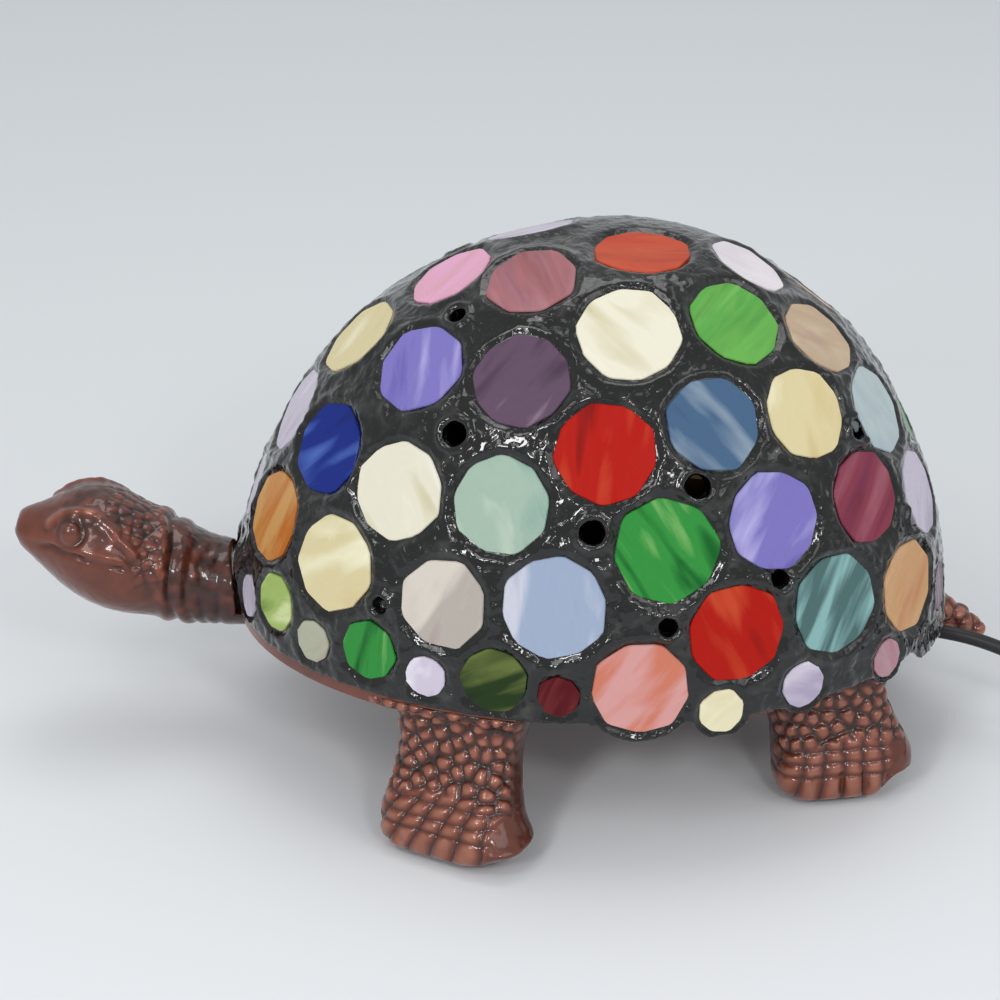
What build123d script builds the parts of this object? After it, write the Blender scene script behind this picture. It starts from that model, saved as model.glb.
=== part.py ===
from build123d import *

import math
import os

# Whole lamp: nose to tail along X, standing on z = 0
lamp_length = 250.0
cut_overrun = 30.0
seat_clearance = 0.6
hole_clearance = 0.05

# Glass shell: a dome, longer in front of its widest section than behind it
shell_front_reach = 97.0
shell_rear_reach = 87.0
shell_half_width = 72.0
shell_height = 101.0
shell_wall = 4.0
shell_wide_x = 27.4
lobe_z = 34.0
seat_rise = 4.5
rim_lean_share = 0.1
profile_shares = ((1, 0), (0.962, 0.27), (0.855, 0.52), (0.665, 0.77), (0.40, 0.935), (0, 1))

# Glass panes and the solder round them
pane_radius = 11.9
pane_thickness = 2.8
pane_lip = 0.3
pane_nip_share = 0.07
pane_turn_share = 0.37
nip_corner_step = 1.9
nip_pane_step = 2.3
lobe_border = 2.0
vent_radius = 2.9
pane_corners = 8
far_tint_shift = 11

# Panes of one flank: share of the way round from nose to tail, share of the way up, size, tint
flank_pane_shares = (
    (0.26, 0.82, 0.95, "aubergine"),
    (0.52, 0.725, 1.06, "pearl"),
    (0.745, 0.715, 0.98, "leaf"),
    (0.215, 0.60, 0.98, "periwinkle"),
    (0.37, 0.62, 1.00, "aubergine"),
    (0.485, 0.50, 1.03, "red"),
    (0.62, 0.54, 0.98, "steel"),
    (0.757, 0.52, 0.95, "cream"),
    (0.895, 0.618, 0.88, "cream"),
    (0.90, 0.455, 0.95, "sky"),
    (0.80, 0.345, 0.95, "garnet"),
    (0.922, 0.278, 0.90, "lavender"),
    (0.152, 0.41, 0.98, "cobalt"),
    (0.273, 0.39, 1.00, "pearl"),
    (0.386, 0.40, 1.00, "seafoam"),
    (0.547, 0.333, 1.08, "leaf"),
    (0.667, 0.36, 1.00, "periwinkle"),
    (0.722, 0.19, 1.04, "teal"),
    (0.837, 0.155, 0.98, "amber"),
    (0.105, 0.25, 0.95, "amber"),
    (0.224, 0.235, 1.00, "cream"),
    (0.347, 0.22, 0.93, "mauve"),
    (0.445, 0.235, 1.06, "sky"),
    (0.611, 0.18, 1.03, "red"),
    (0.15, 0.115, 0.60, "lime"),
    (0.085, 0.078, 0.42, "lavender"),
    (0.214, 0.085, 0.42, "mauve"),
    (0.28, 0.107, 0.62, "leaf"),
    (0.338, 0.086, 0.40, "lavender"),
    (0.398, 0.098, 0.68, "forest"),
    (0.452, 0.08, 0.40, "garnet"),
    (0.93, 0.085, 0.50, "aubergine"),
)
# Low panes of one flank, each in a lobe that hangs below the seat
low_pane_shares = (
    (0.52, 0.095, 1.00, "peach"),
    (0.594, 0.045, 0.45, "cream"),
    (0.677, 0.064, 0.45, "lavender"),
    (0.787, 0.052, 0.38, "mauve"),
)
# Panes along the ridge, from the neck over the crown to the tail
ridge_pane_shares = (
    (0.0, 0.10, 0.50, "amber"),
    (0.0, 0.235, 0.70, "lavender"),
    (0.018, 0.405, 0.92, "lavender"),
    (0.03, 0.578, 0.95, "cream"),
    (0.02, 0.75, 0.92, "peach"),
    (0.78, 0.945, 1.00, "red"),
    (1.0, 0.775, 0.86, "lavender"),
    (1.0, 0.37, 0.45, "leaf"),
)
# Vent holes of one flank: round, up, size
vent_shares = (
    (0.196, 0.706, 0.7),
    (0.316, 0.506, 1.0),
    (0.475, 0.366, 1.0),
    (0.585, 0.437, 1.0),
    (0.660, 0.262, 0.8),
    (0.545, 0.205, 0.7),
    (0.289, 0.160, 0.6),
    (0.828, 0.455, 0.9),
    (0.872, 0.260, 0.8),
)

# Cast tray under the shell: plate, tub for the lamp holder, tail
plate_thickness = 3.0
plate_edge_inset = 1.0
plate_open_inset = 7.5
front_band_x = 3.0
rear_band_x = 104.0
seat_tab_width = 7.0
seat_tab_inset = 2.4
seat_tab_thickness = 1.6
seat_tab_around_shares = (0.635, 0.735)
tub_length = 92.0
tub_width = 60.0
tub_wall = 3.0
tub_corner_radius = 20.0
tub_front_x = -32.0
tub_bottom_z = 22.0
tail_root_x = 104.0
tail_root_z = 35.4
tail_tip_z = 24.6
tail_radius = 4.6
tail_profile_shares = (
    (0.0, 0.90),
    (0.14, 1.0),
    (0.30, 0.86),
    (0.44, 0.93),
    (0.58, 0.70),
    (0.70, 0.74),
    (0.84, 0.46),
    (0.93, 0.42),
)

# Legs: hip under the plate, foot on its pad, broad face turned outwards
leg_width = 36.0
leg_depth = 19.5
front_hip_x = -9.5
front_hip_y = -52.5
front_foot_x = -12.5
front_foot_y = -66.8
front_leg_turn = -28.0
rear_hip_x = 79.0
rear_hip_y = -31.7
rear_foot_x = 86.5
rear_foot_y = -37.8
rear_leg_turn = 10.0
# Leg sections from the sole up: height, lean towards the hip, width, depth
leg_section_shares = (
    (0.0, 0.0, 0.87, 0.83),
    (0.167, 0.04, 1.02, 1.0),
    (0.333, 0.20, 0.97, 0.96),
    (0.5, 0.44, 0.90, 0.90),
    (0.667, 0.70, 0.87, 0.88),
    (0.833, 0.88, 0.92, 0.92),
    (1.0, 1.0, 1.05, 1.02),
)
leg_round_share = 0.42
toe_count = 5
toe_pitch_share = 0.185
toe_groove_radius = 1.6
toe_groove_height = 12.0
pad_thickness = 2.0
pad_size_share = 0.36

# Head and neck: sections from the neck's root to the nose
neck_root_x = -48.0
head_width = 36.0
head_height = 31.0
neck_z = 39.0
nose_z = 56.5
# Evenly spaced from root to nose: rise from neck to nose, width, height
head_section_shares = (
    (0.0, 0.66, 0.65),
    (0.0, 0.66, 0.66),
    (0.0, 0.66, 0.67),
    (0.01, 0.67, 0.69),
    (0.05, 0.69, 0.735),
    (0.15, 0.75, 0.81),
    (0.30, 0.82, 0.885),
    (0.43, 0.88, 0.945),
    (0.56, 0.95, 1.02),
    (0.67, 0.93, 0.995),
    (0.74, 0.77, 0.825),
    (0.82, 0.51, 0.545),
    (0.90, 0.21, 0.20),
)
nose_round = 2.2
eye_x = -110.0
eye_y = 9.8
eye_z = 59.0
eye_radius = 4.2

# Screws that hold the legs and the head to the plate
screw_radius = 2.0
screw_length = 11.0
screw_head_radius = 3.6
screw_head_height = 2.4
neck_screw_x = -57.5
neck_screw_y = 6.0

# Lamp holder on its threaded nipple
holder_x = 27.0
nipple_radius = 4.8
nipple_bore_radius = 3.4
nipple_top_z = 41.0
nut_across_flats = 14.0
nut_height = 4.0
washer_radius = 9.0
washer_thickness = 1.0
holder_radius = 10.5
holder_base_height = 13.0
holder_height = 36.0
holder_bore_radius = 7.0
holder_chamfer = 1.2
shell_sleeve_wall = 0.7
shell_sleeve_length = 20.0
contact_radius = 3.0
contact_height = 2.0
terminal_radius = 2.4
terminal_height = 1.6
terminal_z_share = 0.2
terminal_angle = 30.0

# Small screw-base bulb
cap_radius = 5.9
cap_wall = 0.4
cap_length = 15.0
insulator_height = 2.2
insulator_top_share = 0.95
insulator_bottom_share = 0.55
button_radius = 2.2
button_height = 1.0
envelope_radius = 11.0
envelope_wall = 0.8
envelope_rise = 40.0
envelope_neck_depth = 11.0
stem_radius = 2.4
stem_height = 17.0
filament_wire_radius = 0.35
filament_span = 7.0
filament_rise = 9.0

# Supply cord; cords and wires are swept with a section of a few sides
cord_radius = 1.8
wire_sides = 8
route_bend_share = 0.45
lead_radius = 0.9
relief_y = -4.0
relief_z = 30.0
relief_flange_radius = 4.8
relief_flange_length = 2.5
relief_neck_radius = 3.6
relief_root_radius = 3.8
relief_tip_radius = 2.6

# In-line rocker switch
switch_length = 54.0
switch_width = 22.0
switch_height = 16.0
switch_corner_radius = 7.0
switch_edge_round = 2.0
switch_y = -28.0
well_length = 23.0
well_width = 12.0
well_depth = 6.5
rocker_length = 20.0
rocker_width = 11.2
rocker_top = 2.0
rocker_dip = 0.8
rocker_under = 2.4
rocker_tilt = 12.0
rocker_pivot_drop = 2.2
rocker_pin_radius = 1.2
rocker_pin_reach = 1.2
switch_screw_radius = 1.5
switch_screw_head_radius = 2.6
switch_screw_head_height = 1.5
switch_screw_length = 10.0
switch_screw_spread_share = 0.68

# Two-blade plug
plug_length = 34.0
plug_width = 24.0
plug_height = 18.0
plug_nose_radius = 4.2
plug_round = 4.5
plug_waist_shares = (0.36, 0.62, 0.72)
blade_length = 16.0
blade_width = 6.3
blade_thickness = 1.5
blade_spacing = 12.7

# Put-away coil: turns a layer, layers, and the pitch between turns
coil_turns = 3
coil_layers = 4
coil_pitch = 4.05
coil_outer_radius = 26.6
gap_steps = 24
tie_width = 6.0
tie_wall = 0.9
tie_clearance = 0.6

# Where the cord runs, chosen by hand: to the switch, to the coil, to the plug
lead_route = (
    (84.0, -4.0, 30.0),
    (96.0, -4.0, 30.0),
    (109.0, -7.3, 29.4),
    (122.0, -10.2, 28.2),
    (135.5, -14.0, 23.8),
    (148.5, -19.0, 16.2),
    (160.5, -24.2, 10.2),
    (172.0, -28.0, 8.0),
    (183.0, -28.0, 8.0),
)
feed_route = (
    (237.0, -28.0, 8.0),
    (249.0, -28.0, 8.0),
    (261.0, -25.0, 5.8),
    (270.0, -15.5, 3.9),
    (274.0, 0.5, 3.3),
    (274.0, 14.0, 3.3),
)
end_route = (
    (274.0, 14.0, 15.45),
    (274.0, 26.0, 15.45),
    (270.5, 40.0, 14.0),
    (260.0, 52.0, 11.6),
    (246.0, 58.5, 9.0),
    (233.0, 58.5, 9.0),
)

# Heights and lengths that follow from the sizes above
seat_z = lobe_z + seat_rise
plate_bottom_z = seat_z - plate_thickness
shell_round_radius = (shell_front_reach + shell_rear_reach + 2 * shell_half_width) / 4
tub_middle_x = tub_front_x + tub_length / 2
tub_rear_x = tub_front_x + tub_length
tub_floor_z = tub_bottom_z + tub_wall
leg_height = plate_bottom_z - pad_thickness
holder_bottom_z = tub_floor_z + nut_height + seat_clearance
holder_floor_z = holder_bottom_z + holder_base_height
bulb_z = holder_floor_z + contact_height


def profile_line(radius, height):
    """Edge of the dome from the rim to the crown, in the XZ plane."""
    points = [(along * radius, 0, up * height) for along, up in profile_shares]
    rim_way = (-rim_lean_share * radius, 0, height)
    return Spline(*points, tangents=(rim_way, (-1, 0, 0)))


shell_line = profile_line(shell_round_radius, shell_height)


def half_space(side):
    """Block on one side of the plane x = 0, larger than the shell."""
    size = 4 * (shell_front_reach + shell_height)
    return Pos(side * size / 2, 0, 0) * Box(size, size, size)


def dome(front, rear, half_width, height):
    """Solid dome with its rim on z = 0 and its widest section on x = 0."""
    radius = shell_round_radius
    outline = [profile_line(radius, height), Line((0, 0, height), (0, 0, 0)), Line((0, 0, 0), (radius, 0, 0))]
    round_dome = revolve(make_face(outline), Axis.Z)
    front_half = scale(round_dome, by=(front / radius, half_width / radius, 1)) & half_space(-1)
    rear_half = scale(round_dome, by=(rear / radius, half_width / radius, 1)) & half_space(1)
    return front_half + rear_half


def grown_dome(growth):
    """The shell's outer dome, larger by a growth all over, in place."""
    front = shell_front_reach + growth
    rear = shell_rear_reach + growth
    body = dome(front, rear, shell_half_width + growth, shell_height + growth)
    return Pos(shell_wide_x, 0, lobe_z) * body


def shell_outline(inset):
    """Plan of the shell's rim, drawn in from its edge."""
    centre = (shell_wide_x, 0)
    across = shell_half_width - inset
    front = EllipticalCenterArc(centre, shell_front_reach - inset, across, 90, arc_size=180)
    rear = EllipticalCenterArc(centre, shell_rear_reach - inset, across, -90, arc_size=180)
    return make_face([front, rear])


def shell_plane(around_share, up_share, side):
    """Plane on the shell's outer face, x along the way round and z outwards."""
    spot = shell_line.position_at(up_share * shell_line.length, PositionMode.LENGTH)
    rise = shell_line.tangent_at(up_share * shell_line.length, PositionMode.LENGTH)
    angle = math.pi * around_share
    reach = shell_front_reach if around_share < 0.5 else shell_rear_reach
    spread = Vector(-reach * math.cos(angle), side * shell_half_width * math.sin(angle), 0)
    stretch = spread * (1 / shell_round_radius)
    origin = Vector(shell_wide_x, 0, lobe_z) + stretch * spot.X + Vector(0, 0, spot.Z)
    upwards = stretch * rise.X + Vector(0, 0, rise.Z)
    round_way = Vector(reach * math.sin(angle), side * shell_half_width * math.cos(angle), 0)
    return Plane(origin, x_dir=round_way, z_dir=round_way.cross(upwards) * -side)


def pane_outline(radius, number):
    """Hand-cut round: a polygon whose corners are nipped by uneven amounts."""
    corners = pane_corners + number % 3
    points = []
    for corner in range(corners):
        angle = 2 * math.pi * (corner + pane_turn_share * number) / corners
        nip = abs(math.sin(nip_corner_step * corner + nip_pane_step * number))
        reach = radius * (1 - pane_nip_share * nip)
        points.append((reach * math.cos(angle), reach * math.sin(angle)))
    return Polygon(*points, align=None)


def pane_places():
    """Every pane as (plane, radius, tint), both flanks and the ridge."""
    flank = flank_pane_shares + low_pane_shares
    tints = [tint for _, _, _, tint in flank]
    places = []
    for number, (around, up, size, tint) in enumerate(flank):
        far_tint = tints[(number + far_tint_shift) % len(tints)]
        places.append((shell_plane(around, up, -1), size * pane_radius, tint))
        places.append((shell_plane(around, up, 1), size * pane_radius, far_tint))
    for around, up, size, tint in ridge_pane_shares:
        places.append((shell_plane(around, up, -1), size * pane_radius, tint))
    return places


def lobe_rounds(growth):
    """Cylinders round the low panes, through the wall, which mark the lobes that hang below the seat."""
    depth = shell_wall + seat_clearance + growth
    rounds = []
    for around, up, size, _ in low_pane_shares:
        for side in (-1, 1):
            outline = Circle(size * pane_radius + lobe_border + growth)
            inside = shell_plane(around, up, side) * Pos(0, 0, -depth)
            rounds.append(inside * extrude(outline, depth + cut_overrun))
    return rounds


def make_shell():
    """Solder came with its pockets, lobes and vents, and the panes that fill the pockets."""
    wall = grown_dome(0) - grown_dome(-shell_wall)
    floor_size = 2 * (shell_front_reach + shell_rear_reach)
    slab = Pos(shell_wide_x, 0, seat_z - cut_overrun / 2) * Box(floor_size, floor_size, cut_overrun)
    cutters = list((slab - lobe_rounds(0)).solids())
    glass = {}
    for number, (plane, radius, tint) in enumerate(pane_places()):
        outline = pane_outline(radius, number)
        sink = radius**2 / (2 * shell_half_width) + pane_lip
        reach = shell_wall + pane_radius
        cutters.append(plane * Pos(0, 0, -reach) * extrude(outline, 2 * reach))
        pane = plane * Pos(0, 0, -sink - pane_thickness) * extrude(outline, pane_thickness)
        glass.setdefault(tint, []).append(pane.solid())
    for around, up, size in vent_shares:
        for side in (-1, 1):
            cutters.append(shell_plane(around, up, side) * Cylinder(size * vent_radius, cut_overrun))
    return wall - cutters, glass


def tail():
    """Bumpy pointed tail that droops from the rear of the plate."""
    root = Vector(tail_root_x, 0, tail_root_z)
    tip = Vector(lamp_length / 2, 0, tail_tip_z)
    length = (tip - root).length
    points = [(along * length, out * tail_radius) for along, out in tail_profile_shares]
    edge = Spline(*points, (length, 0))
    outline = [edge, Line((length, 0), (0, 0)), Line((0, 0), points[0])]
    body = revolve(make_face(outline), Axis.X)
    return Plane(root, x_dir=tip - root, z_dir=(0, 1, 0)) * body


def seat_tabs():
    """Blocks that carry the plate out to the rim between the lobes of the rear half."""
    tabs = []
    for around in seat_tab_around_shares:
        for side in (-1, 1):
            tabs.append(shell_plane(around, 0, side) * Box(seat_tab_width, 2 * cut_overrun, 2 * cut_overrun))
    return tabs


def screw_places():
    """Tops of the screws: one above each hip, two above the neck's root."""
    places = []
    for side in (-1, 1):
        places.append((front_hip_x, -side * front_hip_y))
        places.append((rear_hip_x, -side * rear_hip_y))
        places.append((neck_screw_x, side * neck_screw_y))
    return places


def make_tray():
    """Plate that seats the shell, with the tub, the tail and the holes for what it carries."""
    size = 4 * shell_front_reach
    raised = Pos(0, 0, plate_bottom_z)
    inner_plate = raised * extrude(shell_outline(plate_open_inset), plate_thickness)
    seat_plate = raised * extrude(shell_outline(plate_edge_inset), plate_thickness)
    front_zone = Pos(front_band_x - size / 2, 0, 0) * Box(size, size, size)
    rear_zone = Pos(rear_band_x + size / 2, 0, 0) * Box(size, size, size)
    tab_outline = shell_outline(seat_tab_inset)
    tab_plate = Pos(0, 0, seat_z - seat_tab_thickness) * extrude(tab_outline, seat_tab_thickness)
    seats = [seat_plate & zone for zone in (front_zone, rear_zone)]
    seats += [tab_plate & tab for tab in seat_tabs()]
    at_tub = Pos(tub_middle_x, 0, 0)
    tub_outline = RectangleRounded(tub_length, tub_width, tub_corner_radius)
    hollow_outline = RectangleRounded(
        tub_length - 2 * tub_wall, tub_width - 2 * tub_wall, tub_corner_radius - tub_wall
    )
    tub = at_tub * Pos(0, 0, tub_bottom_z) * extrude(tub_outline, seat_z - tub_bottom_z)
    hollow = at_tub * Pos(0, 0, tub_floor_z) * extrude(hollow_outline, seat_z)
    above = Pos(0, 0, seat_z + size / 2) * Box(size, size, size)
    body = inner_plate + seats + tub + (tail() - above)
    cord_hole = Pos(tub_rear_x, relief_y, relief_z) * Rot(0, 90, 0)
    cutters = [hollow, *lobe_rounds(seat_clearance)]
    cutters.append(cord_hole * Cylinder(relief_neck_radius + hole_clearance, 4 * tub_wall))
    cutters.append(Pos(holder_x, 0, tub_bottom_z) * Cylinder(nipple_radius + hole_clearance, 4 * tub_wall))
    for x, y in screw_places():
        cutters.append(Pos(x, y, seat_z) * Cylinder(screw_radius + hole_clearance, 4 * plate_thickness))
    return body - cutters


def leg(hip, foot, turn):
    """Splayed leg: lofted sections from the sole to the hip, toes parted by grooves, a screw hole on top."""
    hip = Vector(*hip)
    foot = Vector(*foot)
    along = Vector(1, 0, 0).rotate(Axis.Z, turn)
    outward = Vector(0, -1, 0).rotate(Axis.Z, turn)
    sections = []
    for rise, lean, width, depth in leg_section_shares:
        centre = foot + (hip - foot) * lean + Vector(0, 0, pad_thickness + rise * leg_height)
        rounding = leg_round_share * depth * leg_depth
        outline = RectangleRounded(width * leg_width, depth * leg_depth, rounding)
        sections.append(Plane(centre, x_dir=along, z_dir=(0, 0, 1)) * outline)
    body = loft(sections)
    cutters = []
    for toe in range(toe_count - 1):
        offset = (toe - (toe_count - 2) / 2) * toe_pitch_share * leg_width
        start = foot + along * offset + outward * (leg_depth / 2 + toe_groove_radius / 4)
        groove_plane = Plane(start + Vector(0, 0, pad_thickness), z_dir=(0, 0, 1))
        cutters.append(groove_plane * Cylinder(toe_groove_radius, 2 * toe_groove_height))
    drill = Pos(hip.X, hip.Y, plate_bottom_z) * Cylinder(screw_radius + hole_clearance, 2 * screw_length)
    return body - cutters - drill


def foot_pad(foot, turn):
    """Rubber pad under the middle of a sole."""
    radius = pad_size_share * leg_depth / 2
    outline = SlotOverall(pad_size_share * leg_width, 2 * radius)
    return Pos(*foot, 0) * Rot(0, 0, turn) * extrude(outline, pad_thickness)


def make_head():
    """Neck and head, cut clear of the shell above and flat under the plate, with the eyes as low domes."""
    pitch = (lamp_length / 2 + neck_root_x) / (len(head_section_shares) - 1)
    sections = []
    for number, (rise, width, height) in enumerate(head_section_shares):
        centre = (neck_root_x - number * pitch, 0, neck_z + rise * (nose_z - neck_z))
        outline = Ellipse(width * head_width / 2, height * head_height / 2)
        sections.append(Plane(centre, x_dir=(0, 1, 0), z_dir=(-1, 0, 0)) * outline)
    body = loft(sections)
    body = fillet(body.faces().sort_by(Axis.X)[0].edges(), nose_round)
    for side in (-1, 1):
        body += Pos(eye_x, side * eye_y, eye_z) * Sphere(eye_radius)
    cutters = [Pos(0, 0, plate_bottom_z) * extrude(shell_outline(-seat_clearance), shell_height)]
    for side in (-1, 1):
        place = Pos(neck_screw_x, side * neck_screw_y, plate_bottom_z)
        cutters.append(place * Cylinder(screw_radius + hole_clearance, 2 * screw_length))
    return body - cutters


def casting_screw(x, y):
    """Pan-head screw through the plate."""
    shank_z = seat_z - screw_length / 2
    shank = Pos(x, y, shank_z) * Cylinder(screw_radius, screw_length)
    head = Pos(x, y, seat_z + screw_head_height / 2) * Cylinder(screw_head_radius, screw_head_height)
    return chamfer((shank + head).edges().group_by(Axis.Z)[-1], screw_head_height / 3)


def tube(outer_radius, inner_radius, bottom_z, height):
    """Upright tube on the lamp holder's axis."""
    ring = Circle(outer_radius) - Circle(inner_radius)
    return Pos(holder_x, 0, bottom_z) * extrude(ring, height)


def hex_nut(bottom_z):
    """Hexagon nut on the nipple."""
    outline = RegularPolygon(nut_across_flats / 2, 6, major_radius=False)
    outline -= Circle(nipple_radius + hole_clearance)
    return Pos(holder_x, 0, bottom_z) * extrude(outline, nut_height)


def make_holder():
    """Nipple, nuts, washer and the bulb holder that stands on them."""
    washer_z = tub_bottom_z - washer_thickness
    nipple_bottom_z = washer_z - nut_height - washer_thickness
    nipple = tube(nipple_radius, nipple_bore_radius, nipple_bottom_z, nipple_top_z - nipple_bottom_z)
    nuts = Compound(children=[hex_nut(washer_z - nut_height), hex_nut(tub_floor_z)])
    washer = tube(washer_radius, nipple_radius + hole_clearance, washer_z, washer_thickness)
    axis = Pos(holder_x, 0, 0)
    body = axis * Pos(0, 0, holder_bottom_z) * extrude(Circle(holder_radius), holder_height)
    body = chamfer(body.edges().group_by(Axis.Z)[-1], holder_chamfer)
    nipple_seat = nipple_top_z - holder_bottom_z
    body -= axis * Pos(0, 0, holder_bottom_z) * extrude(Circle(nipple_radius + hole_clearance), nipple_seat)
    body -= axis * Pos(0, 0, holder_floor_z) * extrude(Circle(holder_bore_radius), holder_height)
    sleeve = tube(
        holder_bore_radius - hole_clearance,
        holder_bore_radius - hole_clearance - shell_sleeve_wall,
        holder_floor_z,
        shell_sleeve_length,
    )
    contact = axis * Pos(0, 0, holder_floor_z) * extrude(Circle(contact_radius), contact_height)
    return nipple, nuts, washer, body, sleeve, contact


def terminal_plane(side):
    """Seat of a terminal screw on the holder's side, facing the tub's rear."""
    height = holder_bottom_z + terminal_z_share * holder_height
    way = Vector(1, 0, 0).rotate(Axis.Z, side * terminal_angle)
    return Plane(Vector(holder_x, 0, height) + way * (holder_radius - hole_clearance), z_dir=way)


def terminal_screw(side):
    """Screw head that clamps a lead, sunk a little into the holder's side."""
    sunk = terminal_plane(side) * Pos(0, 0, -terminal_height)
    return sunk * extrude(Circle(terminal_radius), 2 * terminal_height)


def make_bulb():
    """Screw-base bulb: button, insulator, cap, envelope, stem and filament."""
    axis = Pos(holder_x, 0, bulb_z)
    button = axis * extrude(Circle(button_radius), button_height)
    insulator_top = button_height + insulator_height
    cone_height = insulator_height
    insulator = axis * Pos(0, 0, button_height + cone_height / 2) * Cone(
        insulator_bottom_share * cap_radius, insulator_top_share * cap_radius, cone_height
    )
    inner = cap_radius - cap_wall
    cap = axis * Pos(0, 0, insulator_top) * extrude(Circle(cap_radius) - Circle(inner), cap_length)
    neck_radius = inner - hole_clearance
    neck_bottom = insulator_top + cap_length - envelope_neck_depth
    shoulder = insulator_top + cap_length + seat_clearance
    envelope = envelope_body(neck_radius, neck_bottom, shoulder, 0)
    envelope -= envelope_body(neck_radius, neck_bottom, shoulder, envelope_wall)
    envelope = axis * envelope
    stem_bottom = neck_bottom + envelope_wall
    stem = axis * Pos(0, 0, stem_bottom) * extrude(Circle(stem_radius), stem_height)
    filament = axis * Pos(0, 0, stem_bottom + stem_height) * filament_wire()
    return button, insulator, cap, envelope, stem, filament


def envelope_body(neck_radius, neck_bottom, shoulder, inset):
    """Glass of the bulb, drawn in from its outside: a neck, a cone, and a round crown that it runs into."""
    neck = neck_radius - inset
    bottom = neck_bottom + inset
    crown_radius = envelope_radius - inset
    middle_z = shoulder + envelope_rise - envelope_radius
    rise = middle_z - shoulder
    meet_angle = math.acos(crown_radius / math.hypot(neck, rise)) - math.atan2(rise, neck)
    half_angle = (meet_angle + math.pi / 2) / 2
    meet = (crown_radius * math.cos(meet_angle), 0, middle_z + crown_radius * math.sin(meet_angle))
    half_way = (crown_radius * math.cos(half_angle), 0, middle_z + crown_radius * math.sin(half_angle))
    crown = (0, 0, middle_z + crown_radius)
    lines = [
        Polyline((0, 0, bottom), (neck, 0, bottom), (neck, 0, shoulder), meet),
        ThreePointArc(meet, half_way, crown),
        Line(crown, (0, 0, bottom)),
    ]
    return revolve(make_face(lines), Axis.Z)


def filament_wire():
    """Two supports and the arched wire between them."""
    half = filament_span / 2
    foot = stem_radius / 2
    path = FilletPolyline(
        (-foot, 0, filament_wire_radius),
        (-half, 0, filament_rise),
        (half, 0, filament_rise),
        (foot, 0, filament_wire_radius),
        radius=filament_wire_radius * 3,
    )
    return swept(path, filament_wire_radius)


def wire_outline(radius):
    """Section of a cord or wire."""
    return RegularPolygon(radius, wire_sides)


def swept(path, radius):
    """Wire along a path."""
    start = Plane(path @ 0, z_dir=path % 0)
    return sweep(start * wire_outline(radius), path)


def route_path(points, name):
    """Straight runs joined by the largest arcs that the shorter run allows."""
    points = [Vector(*point) for point in points]
    radii = []
    for before, here, after in zip(points, points[1:], points[2:]):
        turn = math.radians((here - before).get_angle(after - here))
        shorter = min((here - before).length, (after - here).length)
        radii.append(route_bend_share * shorter / math.tan(turn / 2))
    print(name, "radii", [round(radius, 1) for radius in radii])
    return FilletPolyline(*points, radius=radii)


def cord_stretch(points, name):
    """Cord along a route, with its volume set against its section times its length."""
    path = route_path(points, name)
    body = swept(path, cord_radius)
    share = body.volume / (wire_outline(cord_radius).area * path.length)
    print(name, "length", round(path.length, 1), "volume share", round(share, 3))
    return body


def half_turn(start, end, side):
    """Half circle between two ends of a diameter along X, bulging to one side in Y."""
    middle = (start + end) * 0.5 + Vector(0, side * (end - start).length / 2, 0)
    return ThreePointArc(start, middle, end)


def coil_path():
    """Layers of turns that spiral in and out, each climb made in the half turn where the spiral reverses."""
    centre = Vector(feed_route[-1][0] - coil_outer_radius, feed_route[-1][1], feed_route[-1][2])
    here = centre + Vector(coil_outer_radius, 0, 0)
    turns = []
    for layer in range(coil_layers):
        step = -coil_pitch / 2 if layer % 2 == 0 else coil_pitch / 2
        for turn in range(coil_turns):
            radius = here.X - centre.X
            climb = coil_pitch if layer and not turn else 0
            there = here + Vector(-2 * radius, 0, climb)
            turns.append(half_turn(here, there, 1))
            here = there + Vector(2 * (radius + step), 0, 0)
            turns.append(half_turn(there, here, -1))
    return turns


def least_coil_gap(turns):
    """Smallest clear distance between turns that are not neighbours along the cord."""
    points = [arc @ (step / gap_steps) for arc in turns for step in range(gap_steps)]
    gaps = []
    for index, point in enumerate(points):
        gaps += [(point - other).length for other in points[index + gap_steps :]]
    return min(gaps) - 2 * cord_radius


def make_coil():
    """Put-away cord as one tube with all its turns."""
    turns = coil_path()
    length = sum(arc.length for arc in turns)
    print("coil least gap", round(least_coil_gap(turns), 2), "length", round(length, 1))
    path = Wire(turns)
    return swept(path, cord_radius)


def make_tie():
    """Band round the bundle of turns at the side away from the plug lead."""
    bundle = coil_turns * coil_pitch + 2 * cord_radius + 2 * tie_clearance
    middle_radius = coil_outer_radius - coil_turns * coil_pitch / 2
    rise = (coil_layers - 1) * coil_pitch / 2
    x = feed_route[-1][0] - coil_outer_radius - middle_radius
    plane = Plane((x, feed_route[-1][1], feed_route[-1][2] + rise), x_dir=(1, 0, 0), z_dir=(0, 1, 0))
    ring = RectangleRounded(bundle + 2 * tie_wall, bundle + 2 * tie_wall, cord_radius + tie_wall)
    ring -= RectangleRounded(bundle, bundle, cord_radius)
    return plane * extrude(ring, tie_width / 2, both=True)


def make_relief():
    """Strain relief snapped into the tub's rear wall, tapering along the cord."""
    outline = Polyline(
        (-tub_wall - relief_flange_length, 0),
        (-tub_wall - relief_flange_length, relief_flange_radius),
        (-tub_wall, relief_flange_radius),
        (-tub_wall, relief_neck_radius),
        (0, relief_neck_radius),
        (0, relief_flange_radius),
        (relief_flange_length, relief_flange_radius),
        (relief_flange_length, relief_root_radius),
        (lead_route[0][0] - tub_rear_x, relief_tip_radius),
        (lead_route[0][0] - tub_rear_x, 0),
        close=True,
    )
    return Pos(tub_rear_x, relief_y, relief_z) * revolve(make_face(outline), Axis.X)


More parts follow.
